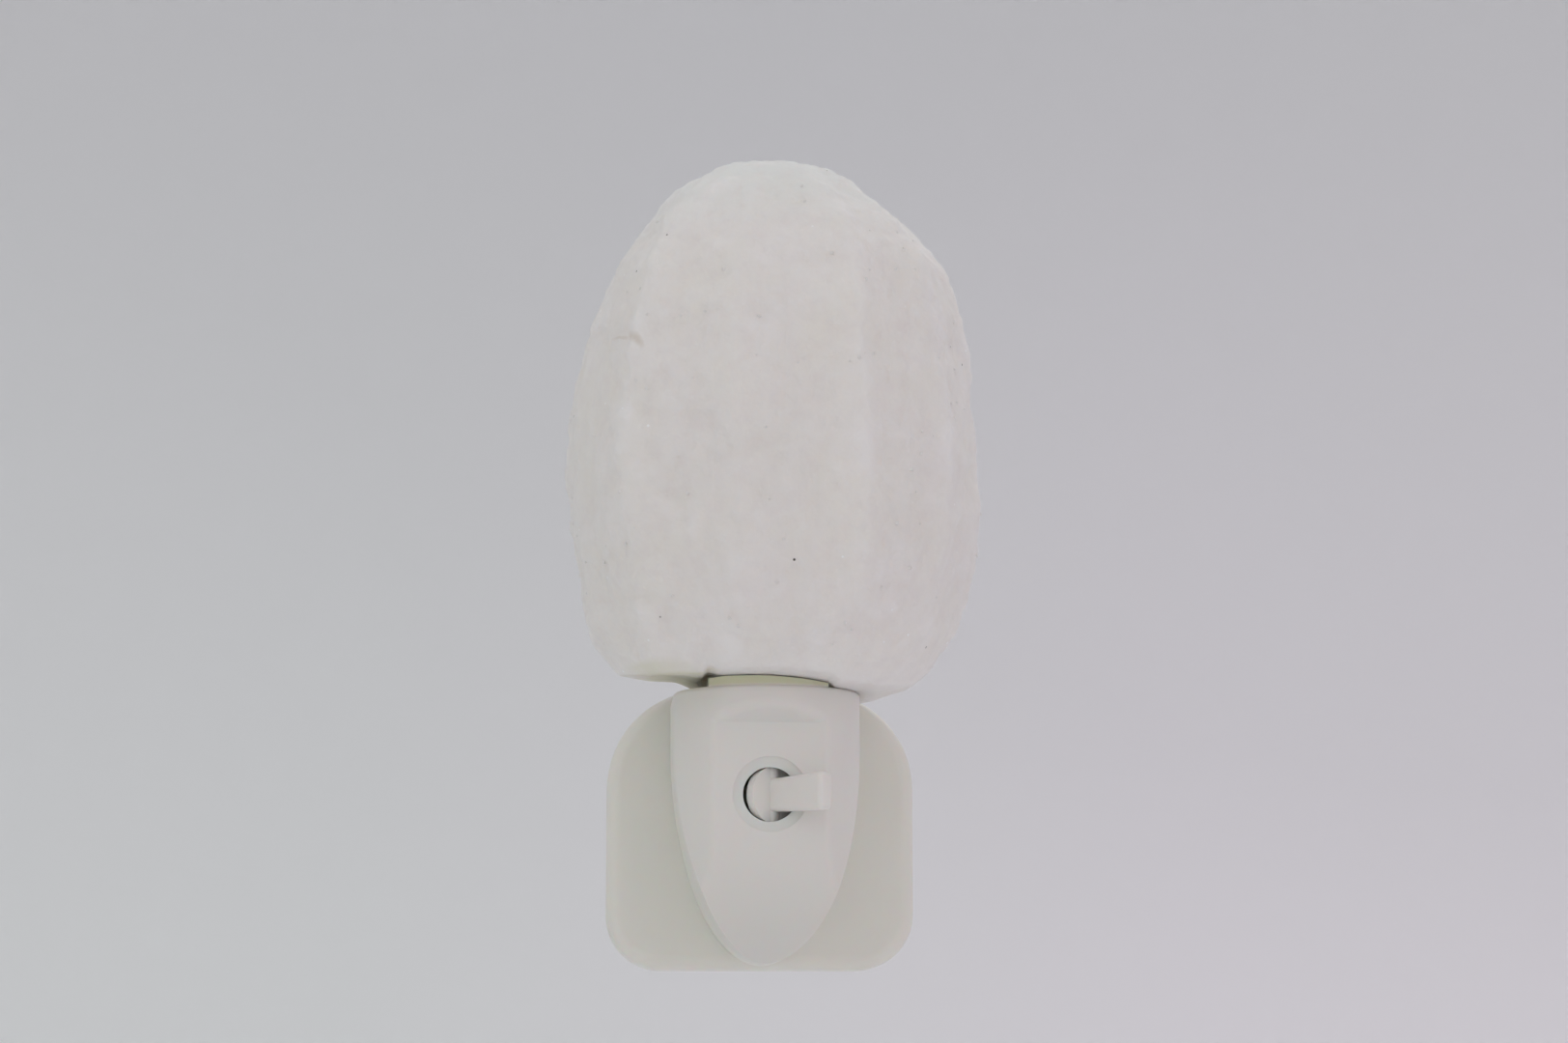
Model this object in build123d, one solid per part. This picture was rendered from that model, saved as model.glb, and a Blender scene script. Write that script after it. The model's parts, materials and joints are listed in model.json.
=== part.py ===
from build123d import *
from math import cos, hypot, radians, sin
import os

os.makedirs("parts", exist_ok=True)

# Frame: the wall is the plane y = 0, +Y goes into the wall, +X is right seen from the front,
# +Z is up, and the origin lies between the plug blades. Lengths are in millimetres.

# Case
plate_width = 57.6
plate_height = 52.4
plate_depth = 12.5
plate_top_corner = 18.5
plate_bottom_corner = 10.5
plate_edge_round = 2.6
wall = 2.0
axis_reach = 30.0
panel_room = 13.6
panel_edge_round = 2.5
collar_drop = 2.8
collar_band = 3.5
collar_edge_round = 0.7
ramp_height = 3.0
tongue_foot_gap = 0.6
tongue_straight = 7.5
nose_drop_share = 0.5
nose_round_share = 1.05
rib_set_back = 0.5
rib_thick = 1.6
rib_gap = 0.2
rib_end_gap = 0.9

# Lid, its screws and the plug blades
lid_thick = 2.4
lid_fit = 0.15
screw_turn_deg = 28.0
boss_radius = 3.0
boss_gap = 0.3
screw_radius = 1.3
screw_length = 7.0
screw_head_radius = 2.4
screw_head_height = 1.3
screw_fit = 0.05
screw_pass = 0.25
screw_sink = 1.4
cross_width = 0.7
cross_depth = 0.7
blade_spacing = 12.7
blade_thick = 1.5
blade_live_width = 6.35
blade_neutral_width = 7.94
blade_reach = 17.0
blade_tip_slope = 2.0
blade_tip_edge = 0.4
blade_hole_radius = 1.6
blade_hole_reach = 11.5
blade_shoulder = 1.4
blade_shoulder_thick = 1.5
blade_tail_width = 5.0
blade_tail_reach = 5.0
blade_fit = 0.12
retainer_thick = 2.5
retainer_margin = 3.0
small_screw_radius = 0.9
small_screw_length = 5.0
small_head_radius = 1.8
small_head_height = 1.1
small_boss_radius = 2.3
pilot_floor = 0.7

# Lamp holder
sleeve_radius = 10.9
sleeve_fit = 0.15
sleeve_rise = 12.0
sleeve_floor = 2.0
sleeve_flange_width = 2.3
sleeve_flange_thick = 2.0
sleeve_flange_gap = 1.9
sleeve_gap_over_switch = 1.0
shell_bore_fit = 0.2
contact_room = 3.0
contact_room_radius = 4.8
ring_width = 1.1
ring_gap = 0.25
ring_thick = 0.8
ring_tooth = 0.1
ring_teeth = 6
tab_width = 3.0
tab_thick = 0.6
tab_fit = 0.12
tab_drop = 4.0
tab_turn_deg = 45.0
barrel_wall = 0.35
contact_width = 2.6
contact_thick = 0.5
contact_half_length = 4.4
contact_rise_share = 0.82

# Bulb
thread_radius = 5.95
thread_depth = 0.5
thread_pitch = 2.54
thread_turns = 5
thread_fit = 0.15
shell_thick = 0.4
bulb_tip_radius = 2.2
bulb_tip_height = 1.3
insulator_height = 2.4
bulb_radius = 11.1
bulb_height = 37.0
bulb_neck_length = 4.0
glass_thick = 0.6
glass_fit = 0.15
bulb_shape_shares = [
    (0.16, 0.76),
    (0.37, 1.00),
    (0.62, 0.87),
    (0.86, 0.47),
    (1.00, 0.00),
]
stem_radius = 2.4
stem_flare = 0.8
stem_height_share = 0.26
lead_radius = 0.3
lead_half_gap = 3.2
lead_height_share = 0.44
filament_radius = 0.25

# Toggle switch
switch_drop = 19.4
switch_hole_radius = 4.9
switch_ring_radius = 6.8
switch_ring_sink = 0.9
switch_ring_step = 0.3
switch_land = 0.4
switch_relief_radius = 6.3
pivot_sink = 4.1
lever_lean_deg = 36.0
lever_length = 16.0
lever_root_thick = 2.6
lever_tip_thick = 3.0
lever_root_width = 5.8
lever_tip_width = 6.9
lever_round = 0.9
flange_radius = 5.25
flange_near = 0.0
flange_far = 1.7
hub_radius = 2.0
hub_half_length = 5.3
pin_radius = 1.0
pin_fit = 0.05
tail_length = 5.2
tail_radius = 1.4
tail_neck = 1.3
tail_mouth = 0.5
tail_half_width = 2.0
frame_side_gap = 0.3
frame_wall = 1.8
frame_front_half = 9.2
frame_corner_gap = 0.467
frame_front_depth = 5.4
frame_pocket_half = 7.2
slider_half_length = 5.6
slider_half_width = 4.2
slider_front_gap = 0.35
slider_floor = 0.9
slot_play = 0.35
slider_end_gap = 0.5
bridge_thick = 0.4
bridge_half_length = 3.9
bridge_half_width = 2.4
bridge_gap = 0.1
pad_half_length = 1.4
pad_half_width = 2.2
pad_thick = 0.6
terminal_tail_thick = 0.8
terminal_tail_width = 3.0
terminal_reach = 3.6
foot_thick = 2.0
foot_drop = 6.4
foot_half_width = 7.6
foot_screw_across = 5.0
foot_stand = 4.0

# Wires
wire_radius = 0.9
wire_fit = 0.05
wire_grip = 2.4
wire_bend = 1.8
wire_end_gap = 0.2
wire_pass = 3.5
wire_side = 1.2
wire_under = 6.0

# Salt crystal
salt_height = 100.4
salt_left = 37.4
salt_right = 39.9
salt_front = 36.9
salt_back = 24.9
bore_gap = 1.3
bore_top_gap = 10.0
notch_half_width = 11.7
notch_height = 1.9
notch_shares = [
    (-1.00, 0.00),
    (-0.98, 0.85),
    (-0.70, 1.00),
    (0.00, 0.95),
    (0.50, 0.75),
    (0.98, 0.45),
    (1.00, 0.00),
]
notch_shift = -0.3
chip_depth = 0.8
chip_turn_deg = 143.0
chip_twist_deg = 97.0
salt_plan_shares = [
    (1.00, 0.18),
    (0.80, 0.68),
    (0.40, 1.00),
    (-0.22, 0.98),
    (-0.74, 0.78),
    (-0.97, 0.32),
    (-1.00, -0.22),
    (-0.78, -0.74),
    (-0.34, -1.00),
    (0.32, -0.96),
    (0.76, -0.76),
    (0.98, -0.28),
]
salt_level_shares = [
    (0.000, 0.740, 0.680, 0.680, 0.640),
    (0.040, 0.815, 0.790, 0.760, 0.670),
    (0.110, 0.890, 0.880, 0.860, 0.840),
    (0.210, 0.930, 0.950, 0.940, 0.930),
    (0.300, 0.990, 0.990, 0.970, 0.970),
    (0.420, 1.000, 0.995, 1.000, 1.000),
    (0.540, 0.975, 0.955, 1.000, 0.990),
    (0.670, 0.900, 0.925, 0.950, 0.960),
    (0.775, 0.790, 0.872, 0.850, 0.880),
    (0.850, 0.660, 0.712, 0.730, 0.760),
    (0.910, 0.530, 0.510, 0.600, 0.620),
    (0.960, 0.370, 0.410, 0.440, 0.470),
    (1.000, 0.130, 0.150, 0.180, 0.190),
]

# Sizes, heights and depths that follow
plate_top = plate_height / 2
plate_bottom = -plate_height / 2
axis_y = -axis_reach
sleeve_flange_radius = sleeve_radius + sleeve_flange_width
ring_radius = sleeve_radius + sleeve_fit + ring_width
bore_radius = max(bulb_radius + bore_gap, ring_radius + ring_gap)
collar_bore = max(
    hypot(panel_room - wall, frame_front_half + frame_corner_gap),
    sleeve_flange_radius + sleeve_flange_gap,
)
collar_radius = collar_bore + wall
panel_set_back = collar_radius - panel_room
collar_top = plate_top - collar_drop
roof_under = collar_top - wall
collar_front = axis_reach + collar_radius
panel_reach = collar_front - panel_set_back
panel_inner = panel_reach - wall
ramp_bottom = collar_top - collar_band - ramp_height
tongue_tip = plate_bottom + tongue_foot_gap
oval_centre = collar_top - tongue_straight
switch_z = collar_top - switch_drop
nose_start = switch_z - nose_drop_share * (collar_top - switch_z)
nose_radius = nose_round_share * (nose_start - tongue_tip)
pivot_y = -(panel_reach - pivot_sink)
lid_inner = -lid_thick
plate_inner = -(plate_depth - wall)
frame_half_height = hub_half_length + frame_side_gap + frame_wall


def span(x0, x1, y0, y1, z0, z1):
    """Box between two corners."""
    middle = Pos((x0 + x1) / 2, (y0 + y1) / 2, (z0 + z1) / 2)
    return middle * Box(abs(x1 - x0), abs(y1 - y0), abs(z1 - z0))


def rod_y(radius, x, z, y0, y1):
    """Rod along Y between two depths."""
    turned = Rot(90, 0, 0) * Cylinder(radius, abs(y1 - y0))
    return Pos(x, (y0 + y1) / 2, z) * turned


def rod_z(radius, x, y, z0, z1):
    """Rod along Z between two heights."""
    return Pos(x, y, (z0 + z1) / 2) * Cylinder(radius, abs(z1 - z0))


def turned_on_axis(outline):
    """Solid of revolution about the lamp's axis from (radius, height) corners."""
    face = make_face(Polyline(*[(r, 0, h) for r, h in outline], close=True))
    return Pos(0, axis_y, 0) * revolve(face, Axis.Z)


def barrel(start, way):
    """Crimped barrel for a wire's end, from a start point along a unit direction."""
    outer = wire_radius + wire_fit + barrel_wall
    base = Plane(start, z_dir=way)
    tube = extrude(base * Circle(outer), wire_grip)
    tube += extrude(base * Circle(outer), -barrel_wall)
    return tube - extrude(base * Circle(wire_radius + wire_fit), wire_grip)


def along(path, radius):
    """Round rod along a path."""
    return sweep(Plane(path @ 0, z_dir=path % 0) * Circle(radius), path=path)


def save(shape, node):
    """Write one node's solids."""
    export_step(shape, "parts/" + node + ".step")


# Case: wall plate, tongue and collar
def plate_block(inset):
    """Wall plate as a full block, all faces but the back moved in by the inset."""
    sheet = Rectangle(plate_width - 2 * inset, plate_height - 2 * inset)
    sheet = fillet(sheet.vertices().group_by(Axis.Y)[-1], plate_top_corner - inset)
    sheet = fillet(sheet.vertices().group_by(Axis.Y)[0], plate_bottom_corner - inset)
    block = extrude(Plane.XZ * sheet, plate_depth - inset)
    front_edges = block.faces().sort_by(Axis.Y)[0].edges()
    return fillet(front_edges, plate_edge_round - inset)


def tongue_block(inset):
    """Tongue and collar as a full block, its faces moved in by the inset."""
    half = collar_radius - inset
    top = collar_top - inset
    fall = oval_centre - tongue_tip - inset
    reach = collar_front - inset
    oval = Pos(0, oval_centre) * Ellipse(half, fall)
    lower = Pos(0, oval_centre - fall / 2) * Rectangle(2 * half, fall)
    upper = Pos(0, (oval_centre + top) / 2) * Rectangle(2 * half, top - oval_centre)
    outline = (oval & lower) + upper
    block = extrude(Plane.XZ * outline, reach)
    plan = Pos(0, axis_y) * Circle(half)
    plan += Pos(0, axis_y / 2) * Rectangle(2 * half, axis_reach)
    pillar = Pos(0, 0, tongue_tip) * extrude(plan, collar_top - tongue_tip)
    block = block & pillar
    return block - panel_cut(inset)


def panel_cut(inset):
    """All that lies in front of the ramp, the switch panel and the curved nose."""
    face_y = -(panel_reach - inset)
    far_y = -(collar_front + panel_set_back)
    rise = ramp_height / panel_set_back
    bend = nose_radius - inset
    ramp_far = (far_y, ramp_bottom + (face_y - far_y) * rise)
    ramp_near = (face_y, ramp_bottom)
    nose_top = (face_y, nose_start)
    nose_mid = (face_y + bend * (1 - cos(radians(45))), nose_start - bend * sin(radians(45)))
    nose_low = (face_y + bend, nose_start - bend)
    corner = (far_y, nose_start - bend)
    edge = Polyline(corner, ramp_far, ramp_near, nose_top)
    edge += ThreePointArc(nose_top, nose_mid, nose_low)
    edge += Line(nose_low, corner)
    return extrude(Plane.YZ * make_face(edge), collar_radius * 2, both=True)


def soft_tongue():
    """Tongue and collar with rounded edges round the panel and on the rim."""
    block = tongue_block(0)
    creases = block.edges().filter_by(Axis.Z).group_by(Axis.Y)[0]
    ramp_arc = block.edges().filter_by(GeomType.ELLIPSE).sort_by(Axis.Y)[:1]
    block = fillet(creases + ramp_arc, panel_edge_round)
    rim = block.edges().filter_by(GeomType.CIRCLE).sort_by(Axis.Z)[-1:]
    return fillet(rim, collar_edge_round)


def screw_places():
    """Centres of the four lid screws inside the plate's corners, as (x, z)."""
    turn = radians(screw_turn_deg)
    places = []
    for corner, way in ((plate_top_corner, 1), (plate_bottom_corner, -1)):
        reach = corner - wall - boss_radius - boss_gap
        across = plate_width / 2 - corner + reach * cos(turn)
        level = way * (plate_height / 2 - corner + reach * sin(turn))
        places += [(-across, level), (across, level)]
    return places


def foot_screw_places():
    """Centres of the two switch screws, as (x, z)."""
    level = switch_z - frame_half_height - foot_drop / 2
    return [(side * foot_screw_across, level) for side in (-1, 1)]


def front_cover():
    """Moulded front of the case, hollow, with screw bosses and the switch hole."""
    outer = plate_block(0) + soft_tongue()
    inner = plate_block(wall) + tongue_block(wall)
    cover = outer - inner
    for x, z in screw_places():
        boss = rod_y(boss_radius, x, z, lid_inner, plate_inner - wall / 2)
        pilot = rod_y(screw_radius + screw_fit, x, z, lid_inner, plate_inner)
        cover = cover + boss - pilot
    stand_y = -(panel_inner - foot_stand)
    for x, z in foot_screw_places():
        boss = rod_y(small_boss_radius, x, z, stand_y, -(panel_inner + wall / 2))
        pilot = rod_y(small_screw_radius + screw_fit, x, z, stand_y, -panel_inner)
        cover = cover + boss - pilot
    cover -= rod_z(sleeve_radius + sleeve_fit, 0, axis_y, roof_under - wall, collar_top + wall)
    return cover + locating_rib() - switch_hole()


def notch_arch(gap):
    """Low channel of the crystal's notch, made smaller by a gap."""
    half = notch_half_width - gap
    roof = [(notch_shift + across * half, collar_top + rise * notch_height - gap)
            for across, rise in notch_shares]
    sill = collar_top - wall
    outline = [(roof[0][0], sill), *roof, (roof[-1][0], sill)]
    face = make_face(Polyline(*[(x, axis_y, z) for x, z in outline], close=True))
    return extrude(face, 2 * salt_front, dir=(0, -1, 0))


def locating_rib():
    """Low rib on the collar's roof that fits the crystal's notch and keeps it from turning."""
    outer = collar_radius - rib_set_back
    top = collar_top + notch_height
    rib = rod_z(outer, 0, axis_y, collar_top - wall / 2, top)
    rib -= rod_z(outer - rib_thick, 0, axis_y, collar_top - wall / 2, top)
    half = notch_half_width - rib_end_gap
    middle = notch_shift
    rib &= span(middle - half, middle + half, axis_y, -collar_front, collar_top - wall / 2, top)
    return rib & notch_arch(rib_gap)


def switch_hole():
    """Round hole of the toggle in a stepped countersink, wider again behind its land."""
    sink_floor = panel_reach - switch_ring_sink
    land_floor = sink_floor - switch_land
    hole = rod_y(switch_hole_radius, 0, switch_z, -(panel_inner - wall), -collar_front)
    hole += rod_y(switch_relief_radius, 0, switch_z, -(panel_inner - wall), -land_floor)
    step_floor = panel_reach - switch_ring_step
    hole += rod_y(switch_ring_radius, 0, switch_z, -step_floor, -collar_front)
    cone = Cone(switch_hole_radius, switch_ring_radius, step_floor - sink_floor)
    cone = Rot(90, 0, 0) * cone
    return hole + Pos(0, -(step_floor + sink_floor) / 2, switch_z) * cone


save(front_cover(), "front_cover")


# Lid, blades and screws
def back_cover():
    """Flat lid inside the skirt of the front, flush with it on the wall side."""
    inset = wall + lid_fit
    sheet = Rectangle(plate_width - 2 * inset, plate_height - 2 * inset)
    sheet = fillet(sheet.vertices().group_by(Axis.Y)[-1], plate_top_corner - inset)
    sheet = fillet(sheet.vertices().group_by(Axis.Y)[0], plate_bottom_corner - inset)
    lid = extrude(Plane.XZ * sheet, lid_thick)
    for x, z in screw_places():
        lid -= rod_y(screw_radius + screw_pass, x, z, 0, lid_inner)
        lid -= rod_y(screw_head_radius + screw_pass, x, z, 0, -screw_sink)
    seat = lid_inner - blade_shoulder_thick
    for z in retainer_screw_levels():
        lid += rod_y(small_boss_radius, 0, z, -lid_thick / 2, seat)
        lid -= rod_y(small_screw_radius + screw_fit, 0, z, -pilot_floor, seat)
    for x, width in blade_places():
        half = blade_thick / 2 + blade_fit
        lid -= span(x - half, x + half, 0, lid_inner, -width / 2 - blade_fit, width / 2 + blade_fit)
    return lid


def blade_places():
    """Middle and width of the neutral and the live blade."""
    half = blade_spacing / 2
    return [(-half, blade_neutral_width), (half, blade_live_width)]


def retainer_screw_levels():
    """Heights of the two screws of the blade retainer."""
    level = blade_neutral_width / 2 + small_boss_radius
    return [-level, level]


def blade(x, width):
    """One plug blade with shoulder, tail and a crimped barrel for its wire."""
    half = blade_thick / 2
    prong = span(x - half, x + half, blade_reach, lid_inner, -width / 2, width / 2)
    tip = prong.faces().sort_by(Axis.Y)[-1].edges()
    prong = chamfer(tip.filter_by(Axis.X), blade_tip_slope)
    prong = chamfer(prong.faces().sort_by(Axis.Y)[-1].edges().filter_by(Axis.Z), blade_tip_edge)
    hole = Rot(0, 90, 0) * Cylinder(blade_hole_radius, 2 * blade_thick)
    prong -= Pos(x, blade_hole_reach, 0) * hole
    wide = half + blade_shoulder
    tall = width / 2 + blade_shoulder
    seat = lid_inner - blade_shoulder_thick
    prong += span(x - wide, x + wide, lid_inner, seat, -tall, tall)
    tail_end = seat - retainer_thick - blade_tail_reach
    tail = blade_tail_width / 2
    prong += span(x - half, x + half, seat, tail_end, -tail, tail)
    return prong + barrel((x, tail_end, 0), (0, -1, 0))


def retainer():
    """Bar that presses the blades' shoulders against the lid."""
    seat = lid_inner - blade_shoulder_thick
    half_x = blade_spacing / 2 + blade_thick / 2 + blade_shoulder + retainer_margin
    half_z = retainer_screw_levels()[1] + small_boss_radius
    bar = span(-half_x, half_x, seat, seat - retainer_thick, -half_z, half_z)
    bar = fillet(bar.edges().filter_by(Axis.Y), retainer_margin / 2)
    for x, width in blade_places():
        half = blade_thick / 2 + blade_fit
        tall = blade_tail_width / 2 + blade_fit
        bar -= span(x - half, x + half, seat, seat - retainer_thick, -tall, tall)
    for z in retainer_screw_levels():
        bar -= rod_y(small_screw_radius + screw_pass, 0, z, seat, seat - retainer_thick)
    return bar


def screw(radius, length, head_radius, head_height):
    """Pan-head screw along +Z, its head's underside at the origin, with a cross recess."""
    shank = Pos(0, 0, length / 2) * Cylinder(radius, length)
    shank = chamfer(shank.faces().sort_by(Axis.Z)[-1].edges(), radius / 2)
    head = Pos(0, 0, -head_height / 2) * Cylinder(head_radius, head_height)
    head = fillet(head.faces().sort_by(Axis.Z)[0].edges(), head_height / 3)
    level = -head_height + cross_depth / 2
    bar = Pos(0, 0, level) * Box(head_radius, cross_width, cross_depth)
    return shank + head - bar - Rot(0, 0, 90) * bar


def lid_screws():
    """The four screws of the lid, driven from the wall side."""
    one = Rot(90, 0, 0) * screw(screw_radius, screw_length, screw_head_radius, screw_head_height)
    return Compound([Pos(x, -screw_sink, z) * one for x, z in screw_places()])


def small_screw():
    """Small screw driven from the front towards the wall."""
    return screw(small_screw_radius, small_screw_length, small_head_radius, small_head_height)


def retainer_screws():
    """The two screws of the blade retainer."""
    top = lid_inner - blade_shoulder_thick - retainer_thick
    one = Rot(-90, 0, 0) * small_screw()
    return [Pos(0, top, z) * one for z in retainer_screw_levels()]


save(back_cover(), "back_cover")
save(lid_screws(), "cover_screws")
save(blade(*blade_places()[0]), "blade_neutral")
save(blade(*blade_places()[1]), "blade_live")
save(retainer(), "blade_retainer")

# Lamp holder and bulb, stacked on the lamp's axis
switch_top = switch_z + frame_half_height
sleeve_bottom = switch_top + sleeve_gap_over_switch
sleeve_top = collar_top + sleeve_rise
floor_top = sleeve_bottom + sleeve_floor
ledge = floor_top + contact_room
socket_outer = thread_radius + thread_fit + shell_thick
socket_bore = socket_outer + shell_bore_fit
tip_bottom = floor_top + contact_room
shell_bottom = tip_bottom + bulb_tip_height + insulator_height
thread_length = thread_pitch * thread_turns
shell_top = shell_bottom + thread_length + bulb_neck_length
glass_bottom = shell_bottom + thread_length
glass_top = glass_bottom + bulb_height
bulb_neck_radius = thread_radius - thread_depth - shell_thick - glass_fit
tab_low = sleeve_bottom - tab_drop
tab_y = axis_y + socket_outer - tab_thick / 2
leg_y = axis_y + contact_half_length - tab_thick / 2
lamp_axis = Axis((0, axis_y, 0), (0, 0, 1))


def thread_side(radius, low):
    """Corners of a row of rounded thread ridges going up from a height."""
    corners = []
    for turn in range(thread_turns):
        base = low + turn * thread_pitch
        corners.append((radius - thread_depth, base))
        corners.append((radius, base + thread_pitch / 4))
        corners.append((radius, base + thread_pitch / 2))
        corners.append((radius - thread_depth, base + thread_pitch * 3 / 4))
    corners.append((radius - thread_depth, low + thread_length))
    return corners


def threaded_tube(radius, thick, low, top):
    """Thin threaded tube whose outside has the given crest radius."""
    outside = thread_side(radius, low) + [(radius - thread_depth, top)]
    inside = [(r - thick, h) for r, h in outside]
    return turned_on_axis(outside + inside[::-1])


def holder_sleeve():
    """Moulded sleeve with a flange under the roof and slots for the two tabs."""
    sleeve = turned_on_axis([
        (0, sleeve_bottom),
        (sleeve_radius, sleeve_bottom),
        (sleeve_radius, roof_under - sleeve_flange_thick),
        (sleeve_flange_radius, roof_under - sleeve_flange_thick),
        (sleeve_flange_radius, roof_under),
        (sleeve_radius, roof_under),
        (sleeve_radius, sleeve_top),
        (socket_bore, sleeve_top),
        (socket_bore, ledge),
        (contact_room_radius, ledge),
        (contact_room_radius, floor_top),
        (0, floor_top),
    ])
    half = tab_width / 2 + tab_fit
    deep = tab_thick / 2 + tab_fit
    slot = span(-half, half, tab_y - deep, tab_y + deep, sleeve_bottom, ledge)
    leg = span(-half, half, leg_y - deep, leg_y + deep, sleeve_bottom, floor_top)
    return sleeve - to_right(slot) - to_left(leg)


def to_right(shape):
    """Shape turned about the lamp's axis to the back right."""
    return shape.rotate(lamp_axis, -tab_turn_deg)


def to_left(shape):
    """Shape turned about the lamp's axis to the back left."""
    return shape.rotate(lamp_axis, tab_turn_deg)


def holder_shell():
    """Threaded brass shell with an inner lip and a tab down through the sleeve."""
    crest = thread_radius + thread_fit + shell_thick
    tube = threaded_tube(crest, shell_thick, shell_bottom, sleeve_top - shell_thick)
    skirt = turned_on_axis([
        (crest - thread_depth - shell_thick, ledge),
        (crest, ledge),
        (crest, ledge + shell_thick),
        (crest - thread_depth, ledge + shell_thick),
        (crest - thread_depth, shell_bottom),
        (crest - thread_depth - shell_thick, shell_bottom),
    ])
    half = tab_width / 2
    deep = tab_thick / 2
    tab = span(-half, half, tab_y - deep, tab_y + deep, ledge + shell_thick / 2, tab_low)
    tab += barrel((0, tab_y, tab_low), (0, 0, -1))
    return tube + skirt + to_right(tab)


def centre_contact():
    """Sprung strip on the holder's floor with a leg down through it."""
    base = contact_thick
    low = floor_top
    reach = contact_half_length
    peak = low + contact_rise_share * contact_room
    edge = Polyline(
        (axis_y + reach, low),
        (axis_y + reach, low + base),
        (axis_y - reach + 2 * base, low + base),
        (axis_y, peak),
        (axis_y + reach / 2, peak),
        (axis_y + reach / 2, peak + base),
        (axis_y - base / 2, peak + base),
        (axis_y - reach, low + base),
        (axis_y - reach, low),
        close=True,
    )
    strip = extrude(Plane.YZ * make_face(edge), contact_width / 2, both=True)
    deep = tab_thick / 2
    half = tab_width / 2
    strip += span(-half, half, leg_y - deep, leg_y + deep, low + base / 2, tab_low)
    strip += barrel((0, leg_y, tab_low), (0, 0, -1))
    return to_left(strip)


def holder_ring():
    """Push-on ring over the sleeve, on top of the collar's roof, with inner teeth."""
    ring = rod_z(ring_radius, 0, axis_y, collar_top, collar_top + ring_thick)
    ring -= rod_z(sleeve_radius + ring_tooth, 0, axis_y, collar_top, collar_top + ring_thick)
    gap = Box(ring_radius / ring_teeth, ring_width, ring_thick)
    for tooth in range(ring_teeth):
        place = Rot(0, 0, tooth * 360 / ring_teeth) * Pos(0, sleeve_radius, 0)
        ring -= Pos(0, axis_y, collar_top + ring_thick / 2) * place * gap
    return ring


def bulb_body(inset):
    """Bulb shape as a full body, moved in by the inset."""
    neck = bulb_neck_radius - inset
    points = [(neck, 0, shell_top)]
    for rise, width in bulb_shape_shares:
        level = shell_top + rise * (glass_top - inset - shell_top)
        points.append((max(width * bulb_radius - inset, 0), 0, level))
    curve = Spline(*points, tangents=[(0, 0, 1), (-1, 0, 0)])
    foot = (0, 0, glass_bottom)
    neck_foot = (neck, 0, glass_bottom)
    edge = curve + Polyline(points[-1], foot, neck_foot, points[0])
    return Pos(0, axis_y, 0) * revolve(make_face(edge), Axis.Z)


def bulb_glass():
    """Hollow glass of the bulb."""
    return bulb_body(0) - bulb_body(glass_thick)


def bulb_shell():
    """Threaded base of the bulb with a plain neck round the glass."""
    return threaded_tube(thread_radius, shell_thick, shell_bottom, shell_top)


def bulb_insulator():
    """Dark cone between the bulb's shell and its tip contact."""
    low = tip_bottom + bulb_tip_height
    wide = thread_radius - thread_depth - shell_thick - glass_fit
    return turned_on_axis([
        (0, low),
        (bulb_tip_radius + shell_thick, low),
        (wide, shell_bottom),
        (wide, shell_bottom + thread_pitch / 2),
        (0, shell_bottom + thread_pitch / 2),
    ])


def bulb_tip():
    """Solder button under the insulator."""
    button = rod_z(bulb_tip_radius, 0, axis_y, tip_bottom, tip_bottom + bulb_tip_height)
    return fillet(button.faces().sort_by(Axis.Z)[0].edges(), bulb_tip_height / 2)


def stem_top():
    """Height of the top of the glass stem."""
    return glass_bottom + stem_height_share * bulb_height


def bulb_stem():
    """Glass stem that carries the leads, with a flare that closes the bulb's neck."""
    stem = rod_z(stem_radius, 0, axis_y, glass_bottom, stem_top())
    stem += rod_z(bulb_neck_radius, 0, axis_y, glass_bottom - stem_flare, glass_bottom)
    for side in (-1, 1):
        bore = lead_radius + glass_fit
        stem -= rod_z(bore, side * stem_radius / 2, axis_y, stem_top() - stem_radius, stem_top())
    return stem


def lead_path(side):
    """Path of one lead from inside the stem out to the filament's end."""
    start = (side * stem_radius / 2, axis_y, stem_top() - stem_radius)
    bend = (side * stem_radius / 2, axis_y, stem_top() + stem_radius / 2)
    end = (side * lead_half_gap, axis_y, glass_bottom + lead_height_share * bulb_height)
    return FilletPolyline(start, bend, end, radius=stem_radius / 2)


def bulb_leads():
    """The two leads of the filament."""
    return Compound([along(lead_path(side), lead_radius) for side in (-1, 1)])


def bulb_filament():
    """Bowed filament just over the ends of the leads."""
    level = glass_bottom + lead_height_share * bulb_height + lead_radius + filament_radius
    side = lead_half_gap + lead_radius
    arch = ThreePointArc(
        (-side, axis_y, level),
        (0, axis_y, level + lead_half_gap / 2),
        (side, axis_y, level),
    )
    return along(arch, filament_radius)


save(holder_sleeve(), "holder_sleeve")
save(holder_shell(), "holder_shell")
save(centre_contact(), "centre_contact")
save(holder_ring(), "holder_ring")
save(bulb_glass(), "bulb_glass")
save(bulb_shell(), "bulb_shell")
save(bulb_insulator(), "bulb_insulator")
save(bulb_tip(), "bulb_tip")
save(bulb_stem(), "bulb_stem")
save(bulb_leads(), "bulb_leads")
save(bulb_filament(), "bulb_filament")

# Toggle switch
lever_swing = tail_length * sin(radians(lever_lean_deg))
slot_half = tail_radius + slot_play
slider_front = pivot_y + tail_length * cos(radians(lever_lean_deg)) - tail_mouth
slot_back = pivot_y + tail_length + tail_radius + slot_play
slider_back = slot_back + slider_floor
frame_front = -panel_inner
pocket_back = frame_front + frame_front_depth
track_half = slider_half_length + lever_swing + slider_end_gap
track_back = slider_back + bridge_thick + bridge_gap
frame_back = track_back + pad_thick + frame_wall


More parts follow.
